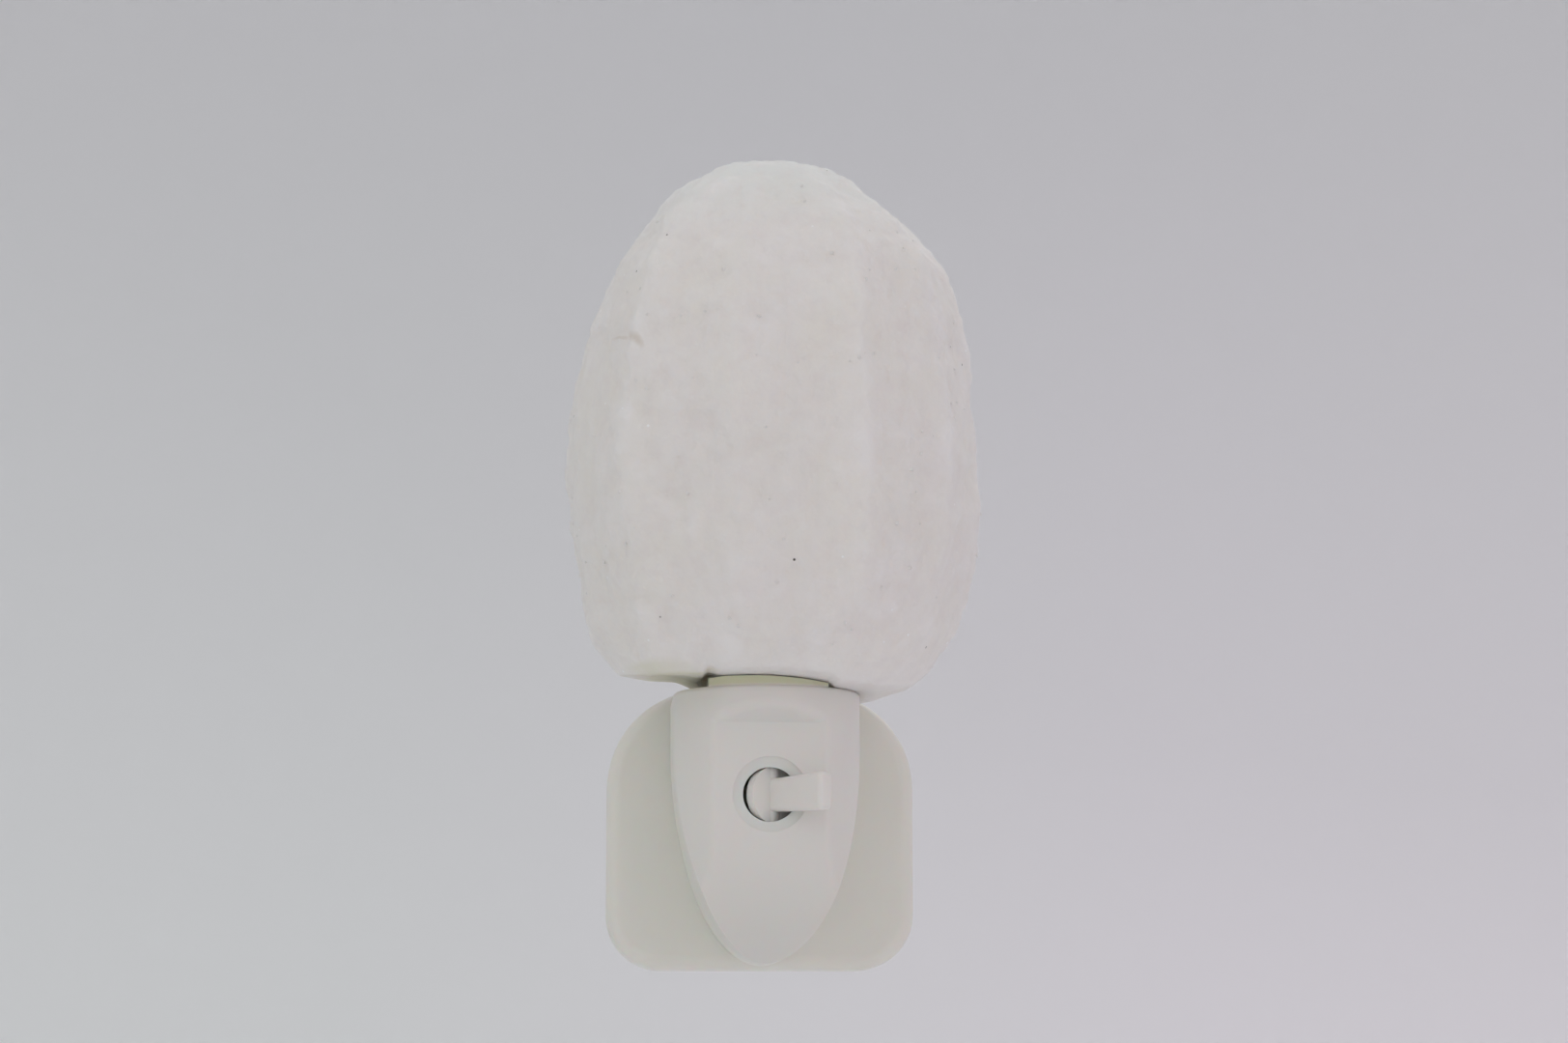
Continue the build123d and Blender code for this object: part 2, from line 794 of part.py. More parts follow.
def lever():
    """Toggle lever at rest: hub, round flange, tapered handle and tail, leaning right."""
    hub = Cylinder(hub_radius, 2 * hub_half_length)
    disc = Plane.XZ.offset(flange_near) * Circle(flange_radius)
    flange = extrude(disc, flange_far - flange_near)
    handle = loft([
        Plane.XZ.offset(flange_near) * Rectangle(lever_root_thick, lever_root_width),
        Plane.XZ.offset(lever_length) * Rectangle(lever_tip_thick, lever_tip_width),
    ])
    long_edges = handle.edges().group_by(Axis.Y)[1]
    handle = fillet(long_edges, lever_round)
    handle = fillet(handle.faces().sort_by(Axis.Y)[0].edges(), lever_round)
    neck = tail_neck / 2
    tail = span(-neck, neck, 0, tail_length, -tail_half_width, tail_half_width)
    tail += Pos(0, tail_length, 0) * Cylinder(tail_radius, 2 * tail_half_width)
    whole = hub + flange + handle + tail
    whole -= Cylinder(pin_radius + pin_fit, 2 * hub_half_length)
    return Pos(0, pivot_y, switch_z) * Rot(0, 0, lever_lean_deg) * whole


def frame():
    """Moulded frame: lever pocket in front, slide track behind, foot below."""
    high = frame_half_height
    low_z = switch_z - high
    top_z = switch_z + high
    front_half = frame_front_half
    back_half = track_half + frame_wall
    body = span(-front_half, front_half, frame_front, pocket_back, low_z, top_z)
    body += span(-back_half, back_half, pocket_back, frame_back, low_z, top_z)
    room = hub_half_length + frame_side_gap
    side = frame_pocket_half
    body -= span(-side, side, frame_front, pocket_back, switch_z - room, switch_z + room)
    tall = slider_half_width + slider_front_gap
    body -= span(
        -track_half, track_half, pocket_back, track_back, switch_z - tall, switch_z + tall
    )
    body -= rod_z(pin_radius + screw_fit, 0, pivot_y, low_z, top_z)
    for x in (line_pad_x, lamp_pad_x):
        body -= pad_room(x)
    stand_y = -(panel_inner - foot_stand)
    foot = foot_half_width
    body += span(-foot, foot, stand_y, stand_y + foot_thick, low_z - foot_drop, low_z)
    for x, z in foot_screw_places():
        body -= rod_y(small_screw_radius + screw_pass, x, z, stand_y, stand_y + foot_thick)
    return body


line_pad_x = lever_swing + pad_half_length - bridge_half_length
lamp_pad_x = -lever_swing - bridge_half_length + pad_half_length


def pad_room(x):
    """Recess for a contact pad and slot for its tail."""
    half = pad_half_length + tab_fit
    tall = pad_half_width + tab_fit
    room = span(x - half, x + half, track_back, track_back + pad_thick,
                switch_z - tall, switch_z + tall)
    half = terminal_tail_thick / 2 + tab_fit
    tall = terminal_tail_width / 2 + tab_fit
    return room + span(x - half, x + half, track_back, frame_back,
                       switch_z - tall, switch_z + tall)


def terminal(x):
    """Fixed contact: pad on the track's back wall and a tail behind it."""
    half = pad_half_length
    tall = pad_half_width
    pad = span(x - half, x + half, track_back, track_back + pad_thick,
               switch_z - tall, switch_z + tall)
    half = terminal_tail_thick / 2
    tall = terminal_tail_width / 2
    tail_end = frame_back + terminal_reach
    pad += span(x - half, x + half, track_back, tail_end, switch_z - tall, switch_z + tall)
    return pad + barrel((x, tail_end, switch_z), (0, 1, 0))


def slider():
    """Slide with a slot for the lever's tail, at rest on the left."""
    half = slider_half_length
    tall = slider_half_width
    block = span(-half, half, slider_front, slider_back, -tall, tall)
    block -= span(-slot_half, slot_half, slider_front, slot_back, -tall, tall)
    return Pos(-lever_swing, 0, switch_z) * block


def bridge():
    """Brass bridge on the back of the slide."""
    half = bridge_half_length
    tall = bridge_half_width
    strip = span(-half, half, slider_back, slider_back + bridge_thick, -tall, tall)
    return Pos(-lever_swing, 0, switch_z) * strip


def pivot_pin():
    """Pin of the lever, from cheek to cheek."""
    return rod_z(pin_radius, 0, pivot_y, switch_z - frame_half_height, switch_z + frame_half_height)


def switch_screws():
    """The two screws of the switch frame, driven towards the panel."""
    top = -(panel_inner - foot_stand) + foot_thick
    one = Rot(90, 0, 0) * small_screw()
    return [Pos(x, top, z) * one for x, z in foot_screw_places()]


save(lever(), "switch_lever")
save(frame(), "switch_frame")
save(pivot_pin(), "pivot_pin")
save(Compound(retainer_screws() + switch_screws()), "small_screws")
save(slider(), "switch_slider")
save(bridge(), "bridge_contact")
save(terminal(line_pad_x), "line_terminal")
save(terminal(lamp_pad_x), "lamp_terminal")


# Wires inside the case
terminal_end = frame_back + terminal_reach
blade_end = lid_inner - blade_shoulder_thick - retainer_thick - blade_tail_reach
back_room = (terminal_end + wire_grip + blade_end - wire_grip) / 2


def wire(*corners):
    """Insulated wire through its corners, rounded at each bend."""
    return along(FilletPolyline(*corners, radius=wire_bend), wire_radius)


def wire_line():
    """Wire from the live blade to the switch."""
    x = blade_spacing / 2
    return wire(
        (x, blade_end - wire_end_gap, 0),
        (x, back_room, 0),
        (line_pad_x, back_room, switch_z),
        (line_pad_x, terminal_end + wire_end_gap, switch_z),
    )


def wire_switched():
    """Wire from the switch up to the holder's centre contact."""
    x, y = turned_place(leg_y, -1)
    low = switch_z - wire_pass
    return wire(
        (x, y, tab_low - wire_end_gap),
        (x, y, low),
        (x, back_room - wire_side, low),
        (lamp_pad_x, back_room - wire_side, switch_z),
        (lamp_pad_x, terminal_end + wire_end_gap, switch_z),
    )


def wire_neutral():
    """Wire from the neutral blade, under the others, up to the holder's shell."""
    x, y = turned_place(tab_y, 1)
    low = -wire_under
    near = back_room + wire_side
    return wire(
        (-blade_spacing / 2, blade_end - wire_end_gap, 0),
        (-blade_spacing / 2, near, 0),
        (x, near, low),
        (x, y, low),
        (x, y, tab_low - wire_end_gap),
    )


def turned_place(y, side):
    """Place of a holder tab that was made at depth y, after its turn to one side."""
    reach = y - axis_y
    turn = radians(tab_turn_deg)
    return side * reach * sin(turn), axis_y + reach * cos(turn)


save(wire_line(), "wire_line")
save(wire_switched(), "wire_switched")
save(wire_neutral(), "wire_neutral")


# Salt crystal
def salt_section(row):
    """Many-sided section of the crystal at one row of its table, its corners hewn in by turns."""
    rise, left, right, front, back = salt_level_shares[row]
    corners = []
    for corner, (across, ahead) in enumerate(salt_plan_shares):
        x = across * (right * salt_right if across > 0 else left * salt_left)
        y = ahead * (front * salt_front if ahead > 0 else back * salt_back)
        turn = radians(corner * chip_turn_deg + row * chip_twist_deg)
        hewn = 1 - chip_depth * (1 + sin(turn)) / 2 / hypot(x, y)
        corners.append((x * hewn, axis_y - y * hewn, collar_top + rise * salt_height))
    return make_face(Polyline(*corners, close=True))


def salt_crystal():
    """Hewn crystal on the collar, bored for the bulb, notched at the front of its foot."""
    lump = loft([salt_section(row) for row in range(len(salt_level_shares))], ruled=True)
    lump -= rod_z(bore_radius, 0, axis_y, collar_top, glass_top + bore_top_gap)
    return lump - notch_arch(0)


save(salt_crystal(), "salt_crystal")
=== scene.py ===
"""Plug-in salt lamp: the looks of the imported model.

A hewn white salt crystal stands on a moulded ivory case with a toggle switch in front and plug
blades behind. Sizes are in millimetres in the model's frame: the wall is the plane y = 0, the
lamp faces -Y and +Z is up. Blender works in metres, so each size passes through MM.
"""

import json
import logging
import math
from dataclasses import dataclass, field
from enum import Enum

import bmesh
import bpy
import numpy as np
from bpy.types import Material, Mesh, Node, NodeOutputs, NodeSocket, NodeTree, Object
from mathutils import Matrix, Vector, noise

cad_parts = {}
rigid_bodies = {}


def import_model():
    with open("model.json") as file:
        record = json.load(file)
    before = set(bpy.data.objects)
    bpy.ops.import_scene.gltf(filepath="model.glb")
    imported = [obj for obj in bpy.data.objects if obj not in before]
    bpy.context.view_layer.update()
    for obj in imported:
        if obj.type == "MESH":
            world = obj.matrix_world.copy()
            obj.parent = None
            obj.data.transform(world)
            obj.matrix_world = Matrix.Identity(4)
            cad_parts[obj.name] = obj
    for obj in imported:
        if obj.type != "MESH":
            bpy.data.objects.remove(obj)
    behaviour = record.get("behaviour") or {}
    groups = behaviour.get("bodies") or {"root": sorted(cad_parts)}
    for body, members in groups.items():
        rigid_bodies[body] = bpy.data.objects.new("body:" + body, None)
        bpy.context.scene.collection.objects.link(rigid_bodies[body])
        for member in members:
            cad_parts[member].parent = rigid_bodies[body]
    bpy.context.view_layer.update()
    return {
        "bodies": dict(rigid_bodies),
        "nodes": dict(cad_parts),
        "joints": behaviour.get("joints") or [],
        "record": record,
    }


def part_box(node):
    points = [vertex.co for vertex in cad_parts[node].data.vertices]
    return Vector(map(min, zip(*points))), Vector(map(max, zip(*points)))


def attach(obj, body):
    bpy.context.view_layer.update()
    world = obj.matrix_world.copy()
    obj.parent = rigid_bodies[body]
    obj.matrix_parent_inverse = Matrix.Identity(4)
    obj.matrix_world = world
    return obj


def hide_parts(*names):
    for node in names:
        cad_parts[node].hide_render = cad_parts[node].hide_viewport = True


log = logging.getLogger("salt_lamp")

MM = 0.001
# Noise seldom leaves this range, so it is stretched from here to its full effect
NOISE_RANGE = (0.3, 0.7)
NOISE_MIDDLE = (0.5, 0.5, 0.5)

Colour = tuple[float, float, float, float]
Place = tuple[float, float, float]
Pair = tuple[float, float]
# An axis as X, Y or Z, with the start and end of a change along it
Span = tuple[str, float, float]
# A tone, with the spans that lead to it
Tint = tuple[str, tuple[Span, ...]]


# Small tools
def linear(colour: str) -> Colour:
    """Turn an sRGB hex colour into linear light.

    Args:
        colour: Six hex digits after a hash sign.

    Returns:
        Linear red, green and blue, with an alpha of one.
    """
    shares = [int(colour[i:i + 2], 16) / 255 for i in (1, 3, 5)]
    light = [s / 12.92 if s <= 0.04045 else ((s + 0.055) / 1.055) ** 2.4 for s in shares]
    return (light[0], light[1], light[2], 1.0)


def feed(tree: NodeTree, node: Node, feeds: dict) -> None:
    """Set or link a node's inputs.

    Args:
        tree: The tree that holds the node.
        node: The node.
        feeds: Values or source sockets by input name or number.
    """
    for key, value in feeds.items():
        if isinstance(value, NodeSocket):
            tree.links.new(value, node.inputs[key])
        else:
            node.inputs[key].default_value = value


def add_node(tree: NodeTree, kind: str, feeds: dict | None = None, **settings: object) -> Node:
    """Add a node to a shader or geometry tree.

    Args:
        tree: The tree that gets the node.
        kind: Blender's type name of the node.
        feeds: Values or source sockets by input name or number.
        settings: Properties of the node itself.

    Returns:
        The new node.
    """
    node = tree.nodes.new(kind)
    for name, value in settings.items():
        setattr(node, name, value)
    feed(tree, node, feeds or {})
    return node


def repeat(size: float) -> float:
    """Texture scale of a pattern that repeats every so many millimetres."""
    return 1 / (size * MM)


def smooth_step(values: np.ndarray, low: float, high: float) -> np.ndarray:
    """Ease from 0 at low to 1 at high."""
    share = np.clip((values - low) / (high - low), 0, 1)
    return share * share * (3 - 2 * share)


def shade_smooth(mesh: Mesh) -> None:
    """Shade all of a mesh's faces smoothly."""
    mesh.polygons.foreach_set("use_smooth", np.ones(len(mesh.polygons), bool))


def weld(mesh: Mesh, reach: float, turn_out: bool = False) -> None:
    """Merge a mesh's doubled vertices.

    Args:
        mesh: The mesh to change.
        reach: How far apart doubles may lie, in millimetres.
        turn_out: Whether the faces are then turned outwards.
    """
    work = bmesh.new()
    work.from_mesh(mesh)
    bmesh.ops.remove_doubles(work, verts=work.verts, dist=reach * MM)
    if turn_out:
        bmesh.ops.recalc_face_normals(work, faces=work.faces)
    work.to_mesh(mesh)
    work.free()


def ring_faces(rings: int, sides: int) -> list[tuple[int, int, int, int]]:
    """List the faces of a turned surface.

    Args:
        rings: How many rings of vertices it has, one after the other.
        sides: How many vertices each ring has.

    Returns:
        Each face's four vertex numbers.
    """
    faces = []
    for low in range(0, (rings - 1) * sides, sides):
        for side in range(sides):
            after = (side + 1) % sides
            faces.append((low + side, low + after, low + sides + after, low + sides + side))
    return faces


def new_object(name: str, mesh: Mesh) -> Object:
    """Link a mesh into the scene as an object at the origin.

    Args:
        name: The object's name.
        mesh: Its mesh.

    Returns:
        The new object.
    """
    made = bpy.data.objects.new(name, mesh)
    bpy.context.scene.collection.objects.link(made)
    return made


def baked(made: Object) -> Object:
    """Turn an object's modifiers into plain mesh.

    Args:
        made: An object with modifiers.

    Returns:
        The same object, with the evaluated mesh and no modifiers.
    """
    graph = bpy.context.evaluated_depsgraph_get()
    graph.update()
    mesh = bpy.data.meshes.new_from_object(made.evaluated_get(graph), depsgraph=graph)
    made.modifiers.clear()
    old = made.data
    made.data = mesh
    bpy.data.meshes.remove(old)
    return made


def start_tree(name: str, inputs: dict[str, str]) -> tuple[NodeTree, NodeOutputs]:
    """Make a geometry tree with named inputs.

    Args:
        name: The tree's name.
        inputs: Socket types by input name, after the geometry itself.

    Returns:
        The tree and the sockets that carry its inputs.
    """
    tree = bpy.data.node_groups.new(name, "GeometryNodeTree")
    tree.is_modifier = True
    tree.interface.new_socket("Geometry", in_out="INPUT", socket_type="NodeSocketGeometry")
    for label, kind in inputs.items():
        tree.interface.new_socket(label, in_out="INPUT", socket_type=kind)
    tree.interface.new_socket("Geometry", in_out="OUTPUT", socket_type="NodeSocketGeometry")
    return tree, add_node(tree, "NodeGroupInput").outputs


def end_tree(tree: NodeTree, shapes: NodeSocket, material: NodeSocket) -> None:
    """Close a geometry tree with real meshes in one material.

    Args:
        tree: The tree to close.
        shapes: The geometry so far, instances included.
        material: The socket that carries the material.
    """
    real = add_node(tree, "GeometryNodeRealizeInstances", {"Geometry": shapes})
    dressed = add_node(tree, "GeometryNodeSetMaterial",
                       {"Geometry": real.outputs["Geometry"], "Material": material})
    add_node(tree, "NodeGroupOutput", {"Geometry": dressed.outputs["Geometry"]})


def add_tree(made: Object, tree: NodeTree, values: dict[str, object]) -> None:
    """Put a geometry tree on an object.

    Args:
        made: The object that gets the modifier.
        tree: The geometry tree.
        values: The tree's inputs by name.
    """
    modifier = made.modifiers.new(tree.name, "NODES")
    modifier.node_group = tree
    for item in tree.interface.items_tree:
        if item.in_out == "INPUT" and item.name in values:
            modifier[item.identifier] = values[item.name]


def dress(thing: Object, material: Material) -> None:
    """Give a model node or a new piece its one finish.

    Args:
        thing: The node or piece.
        material: The finish's material.
    """
    thing.data.materials.clear()
    thing.data.materials.append(material)
    log.info("dressed %s in %s", thing.name, material.name)


def log_piece(piece: Object) -> None:
    """Report a new piece and its number of faces."""
    log.info("built %s with %d faces", piece.name, len(piece.data.polygons))


# Finishes
@dataclass(frozen=True)
class Canvas:
    """A new material's node tree and its object coordinates."""

    tree: NodeTree
    coords: NodeSocket

    def clouded(self, size_mm: float, detail: float,
                tones: tuple[str, str]) -> tuple[NodeSocket, NodeSocket]:
        """Mix two tones as soft clouds.

        Args:
            size_mm: The clouds' size.
            detail: How many finer clouds they carry.
            tones: The two tones.

        Returns:
            Sockets with the second tone's share and with the colour.
        """
        clouds = add_node(self.tree, "ShaderNodeTexNoise",
                          {"Vector": self.coords, "Scale": repeat(size_mm), "Detail": detail})
        tone = add_node(self.tree, "ShaderNodeMix",
                        {0: clouds.outputs["Fac"], 6: linear(tones[0]), 7: linear(tones[1])},
                        data_type="RGBA")
        return clouds.outputs["Fac"], tone.outputs[2]

    def tinted(self, tone: NodeSocket | Colour, tints: tuple[Tint, ...]) -> NodeSocket | Colour:
        """Turn a tone towards others, each along one or more axes.

        Args:
            tone: The colour so far.
            tints: The other tones, each full where all its spans have ended.

        Returns:
            The mixed colour.
        """
        for tint, spans in tints:
            split = add_node(self.tree, "ShaderNodeSeparateXYZ", {"Vector": self.coords})
            share: float | NodeSocket = 1.0
            for axis, start, end in spans:
                along = add_node(self.tree, "ShaderNodeMapRange",
                                 {"Value": split.outputs[axis], 1: start * MM, 2: end * MM})
                both = add_node(self.tree, "ShaderNodeMath", {0: share, 1: along.outputs[0]},
                                operation="MULTIPLY")
                share = both.outputs[0]
            mixed = add_node(self.tree, "ShaderNodeMix", {0: share, 6: tone, 7: linear(tint)},
                             data_type="RGBA")
            tone = mixed.outputs[2]
        return tone

    def grained(self, size_mm: float, depth_mm: float, strength: float,
                detail: float = 2.0, stretch: Place = (1.0, 1.0, 1.0)) -> NodeSocket:
        """Raise a fine noise from the surface.

        Args:
            size_mm: The grain's size.
            depth_mm: Its depth.
            strength: How much of it shows.
            detail: How many finer grains it carries.
            stretch: Its scale along each axis, small where lines run long.

        Returns:
            A socket with the surface's direction.
        """
        drawn = add_node(self.tree, "ShaderNodeMapping", {"Vector": self.coords, "Scale": stretch})
        grain = add_node(self.tree, "ShaderNodeTexNoise",
                         {"Vector": drawn.outputs["Vector"], "Scale": repeat(size_mm),
                          "Detail": detail})
        bump = add_node(self.tree, "ShaderNodeBump",
                        {"Height": grain.outputs["Fac"], "Strength": strength,
                         "Distance": depth_mm * MM})
        return bump.outputs["Normal"]


@dataclass(frozen=True)
class Finish:
    """A finish that is built once, under its own name."""

    name: str

    def material(self) -> Material:
        """Build the finish on its first use.

        Returns:
            The finish's material.
        """
        if self.name in bpy.data.materials:
            return bpy.data.materials[self.name]
        material = bpy.data.materials.new(self.name)
        material.use_nodes = True
        tree = material.node_tree
        tree.nodes.clear()
        shader = add_node(tree, "ShaderNodeBsdfPrincipled")
        add_node(tree, "ShaderNodeOutputMaterial", {"Surface": shader.outputs["BSDF"]})
        coords = add_node(tree, "ShaderNodeTexCoord").outputs["Object"]
        feed(tree, shader, self.paint(Canvas(tree, coords)))
        return material

    def paint(self, canvas: Canvas) -> dict:
        """Draw the finish's own pattern.

        Args:
            canvas: The new material.

        Returns:
            What the shader's inputs get.
        """
        raise NotImplementedError


class SurfaceGrain(Enum):
    """How a surface was made, as its grain's scale along x, y and z, small where lines run long."""

    EVEN = (1.0, 1.0, 1.0)
    DRAWN = (1.0, 0.08, 1.0)
    SPUN = (1.0, 1.0, 0.05)


@dataclass(frozen=True)
class CloudedSolid(Finish):
    """A solid in two close tones, the second a little rougher, with a fine surface grain."""

    colour: str
    cloud: str
    roughness: float
    grain: SurfaceGrain = SurfaceGrain.EVEN
    roughness_play: float = 0.06
    cloud_mm: float = 16.0
    cloud_detail: float = 3.0
    grain_mm: float = 0.55
    grain_depth_mm: float = 0.03
    grain_strength: float = 0.35
    tints: tuple[Tint, ...] = ()

    def paint(self, canvas: Canvas) -> dict:
        """Draw clouds, tints and the surface's grain.

        Args:
            canvas: The new material.

        Returns:
            What the shader's inputs get.
        """
        share, tone = canvas.clouded(self.cloud_mm, self.cloud_detail, (self.colour, self.cloud))
        rough = add_node(canvas.tree, "ShaderNodeMapRange",
                         {"Value": share, 1: NOISE_RANGE[0], 2: NOISE_RANGE[1],
                          3: self.roughness - self.roughness_play,
                          4: self.roughness + self.roughness_play})
        # The real grain of moulded and worked surfaces is finer: it is coarse enough here to show
        normal = canvas.grained(self.grain_mm, self.grain_depth_mm, self.grain_strength,
                                stretch=self.grain.value)
        return {"Base Color": canvas.tinted(tone, self.tints), "Roughness": rough.outputs[0],
                "Normal": normal}


@dataclass(frozen=True)
class EvenSolid(CloudedSolid):
    """Plastic, cast glass or a salt grain: an even tone, into which light may go a little way."""

    ior: float = 1.53
    glow: float = 0.0
    glow_mm: float = 1.5

    def paint(self, canvas: Canvas) -> dict:
        """Add the reflection and the inner glow to the clouds and the grain."""
        return super().paint(canvas) | {"IOR": self.ior, "Subsurface Weight": self.glow,
                                        "Subsurface Scale": self.glow_mm * MM}


@dataclass(frozen=True)
class WorkedMetal(CloudedSolid):
    """Sheet, bar or wire: bright grain lines and duller, darker patches where it was handled."""

    roughness_play: float = 0.10
    cloud_mm: float = 4.0
    cloud_detail: float = 4.0
    grain_mm: float = 0.35
    grain_depth_mm: float = 0.02
    grain_strength: float = 0.2

    def paint(self, canvas: Canvas) -> dict:
        """Make the clouds and the grain metallic."""
        return super().paint(canvas) | {"Metallic": 1.0}


@dataclass(frozen=True)
class ClearGlass(Finish):
    """Soda-lime glass: clear and glossy, with slow waves left by its blowing or pressing."""

    tint: str
    roughness: float = 0.02
    ior: float = 1.51
    wave_mm: float = 6.0
    wave_depth_mm: float = 0.05
    wave_strength: float = 0.2

    def paint(self, canvas: Canvas) -> dict:
        """Draw the waves and make the solid clear."""
        normal = canvas.grained(self.wave_mm, self.wave_depth_mm, self.wave_strength, detail=1.0)
        return {"Normal": normal, "Base Color": linear(self.tint), "Roughness": self.roughness,
                "IOR": self.ior, "Transmission Weight": 1.0}


@dataclass(frozen=True)
class Veil:
    """A thin layer of another tone, which shows where a noise of its size runs high."""

    colour: str
    size_mm: float
    start: float
    full: float
    most: float
    detail: float = 3.0
    stretch: Place = (1.0, 1.0, 1.0)

    def mask(self, canvas: Canvas) -> NodeSocket:
        """Find where the veil shows.

        Args:
            canvas: The new material.

        Returns:
            A socket with the veil's share.
        """
        drawn = add_node(canvas.tree, "ShaderNodeMapping",
                         {"Vector": canvas.coords, "Scale": self.stretch})
        cloud = add_node(canvas.tree, "ShaderNodeTexNoise",
                         {"Vector": drawn.outputs["Vector"], "Scale": repeat(self.size_mm),
                          "Detail": self.detail})
        share = add_node(canvas.tree, "ShaderNodeMapRange",
                         {"Value": cloud.outputs["Fac"], 1: self.start, 2: self.full, 3: 0.0,
                          4: self.most})
        return share.outputs[0]


@dataclass(frozen=True)
class Speck:
    """Small dots scattered through a solid, some of them left out by their random colour."""

    colour: str
    spacing_mm: float
    radius_mm: float
    dropped_share: float

    def mask(self, canvas: Canvas) -> NodeSocket:
        """Scatter the dots.

        Args:
            canvas: The new material.

        Returns:
            A socket that is 1 inside a dot.
        """
        tree = canvas.tree
        cells = add_node(tree, "ShaderNodeTexVoronoi",
                         {"Vector": canvas.coords, "Scale": repeat(self.spacing_mm)})
        edge = self.radius_mm / self.spacing_mm
        near = add_node(tree, "ShaderNodeMapRange",
                        {"Value": cells.outputs["Distance"], 1: edge, 2: edge / 2})
        parts = add_node(tree, "ShaderNodeSeparateColor", {"Color": cells.outputs["Color"]})
        chosen = add_node(tree, "ShaderNodeMath", {0: parts.outputs[0], 1: self.dropped_share},
                          operation="GREATER_THAN")
        both = add_node(tree, "ShaderNodeMath", {0: near.outputs[0], 1: chosen.outputs[0]},
                        operation="MULTIPLY")
        return both.outputs[0]


@dataclass(frozen=True)
class Streak:
    """One streak of a stain: its middle, its turn about Y, its reach and its strength."""

    middle: Place
    turn_deg: float
    reach: Place
    strength: float


@dataclass(frozen=True)
class Stain:
    """A brownish inclusion of ragged streaks."""

    colour: str
    streaks: tuple[Streak, ...]
    core_share: float = 0.3
    ragged_mm: float = 2.6
    ragged_reach_mm: float = 1.4

    def mask(self, canvas: Canvas) -> NodeSocket | float:
        """Shape the streaks.

        Args:
            canvas: The new material.

        Returns:
            A socket that is largest in the middle of a streak.
        """
        tree = canvas.tree
        ragged = add_node(tree, "ShaderNodeTexNoise",
                          {"Vector": canvas.coords, "Scale": repeat(self.ragged_mm), "Detail": 2.0})
        pushed = add_node(tree, "ShaderNodeVectorMath",
                          {0: ragged.outputs["Color"], 1: NOISE_MIDDLE}, operation="SUBTRACT")
        shift = add_node(tree, "ShaderNodeVectorMath",
                         {0: pushed.outputs[0], "Scale": self.ragged_reach_mm * MM},
                         operation="SCALE")
        moved = add_node(tree, "ShaderNodeVectorMath", {0: canvas.coords, 1: shift.outputs[0]},
                         operation="ADD")
        mask: float | NodeSocket = 0.0
        for streak in self.streaks:
            place = add_node(tree, "ShaderNodeMapping",
                             {"Vector": moved.outputs[0],
                              "Rotation": (0.0, math.radians(streak.turn_deg), 0.0),
                              "Location": [v * MM for v in streak.middle],
                              "Scale": [v * MM for v in streak.reach]}, vector_type="TEXTURE")
            far = add_node(tree, "ShaderNodeVectorMath", {0: place.outputs[0]}, operation="LENGTH")
            share = add_node(tree, "ShaderNodeMapRange",
                             {"Value": far.outputs["Value"], 1: 1.0, 2: self.core_share, 3: 0.0,
                              4: streak.strength})
            both = add_node(tree, "ShaderNodeMath", {0: mask, 1: share.outputs[0]},
                            operation="MAXIMUM")
            mask = both.outputs[0]
        return mask


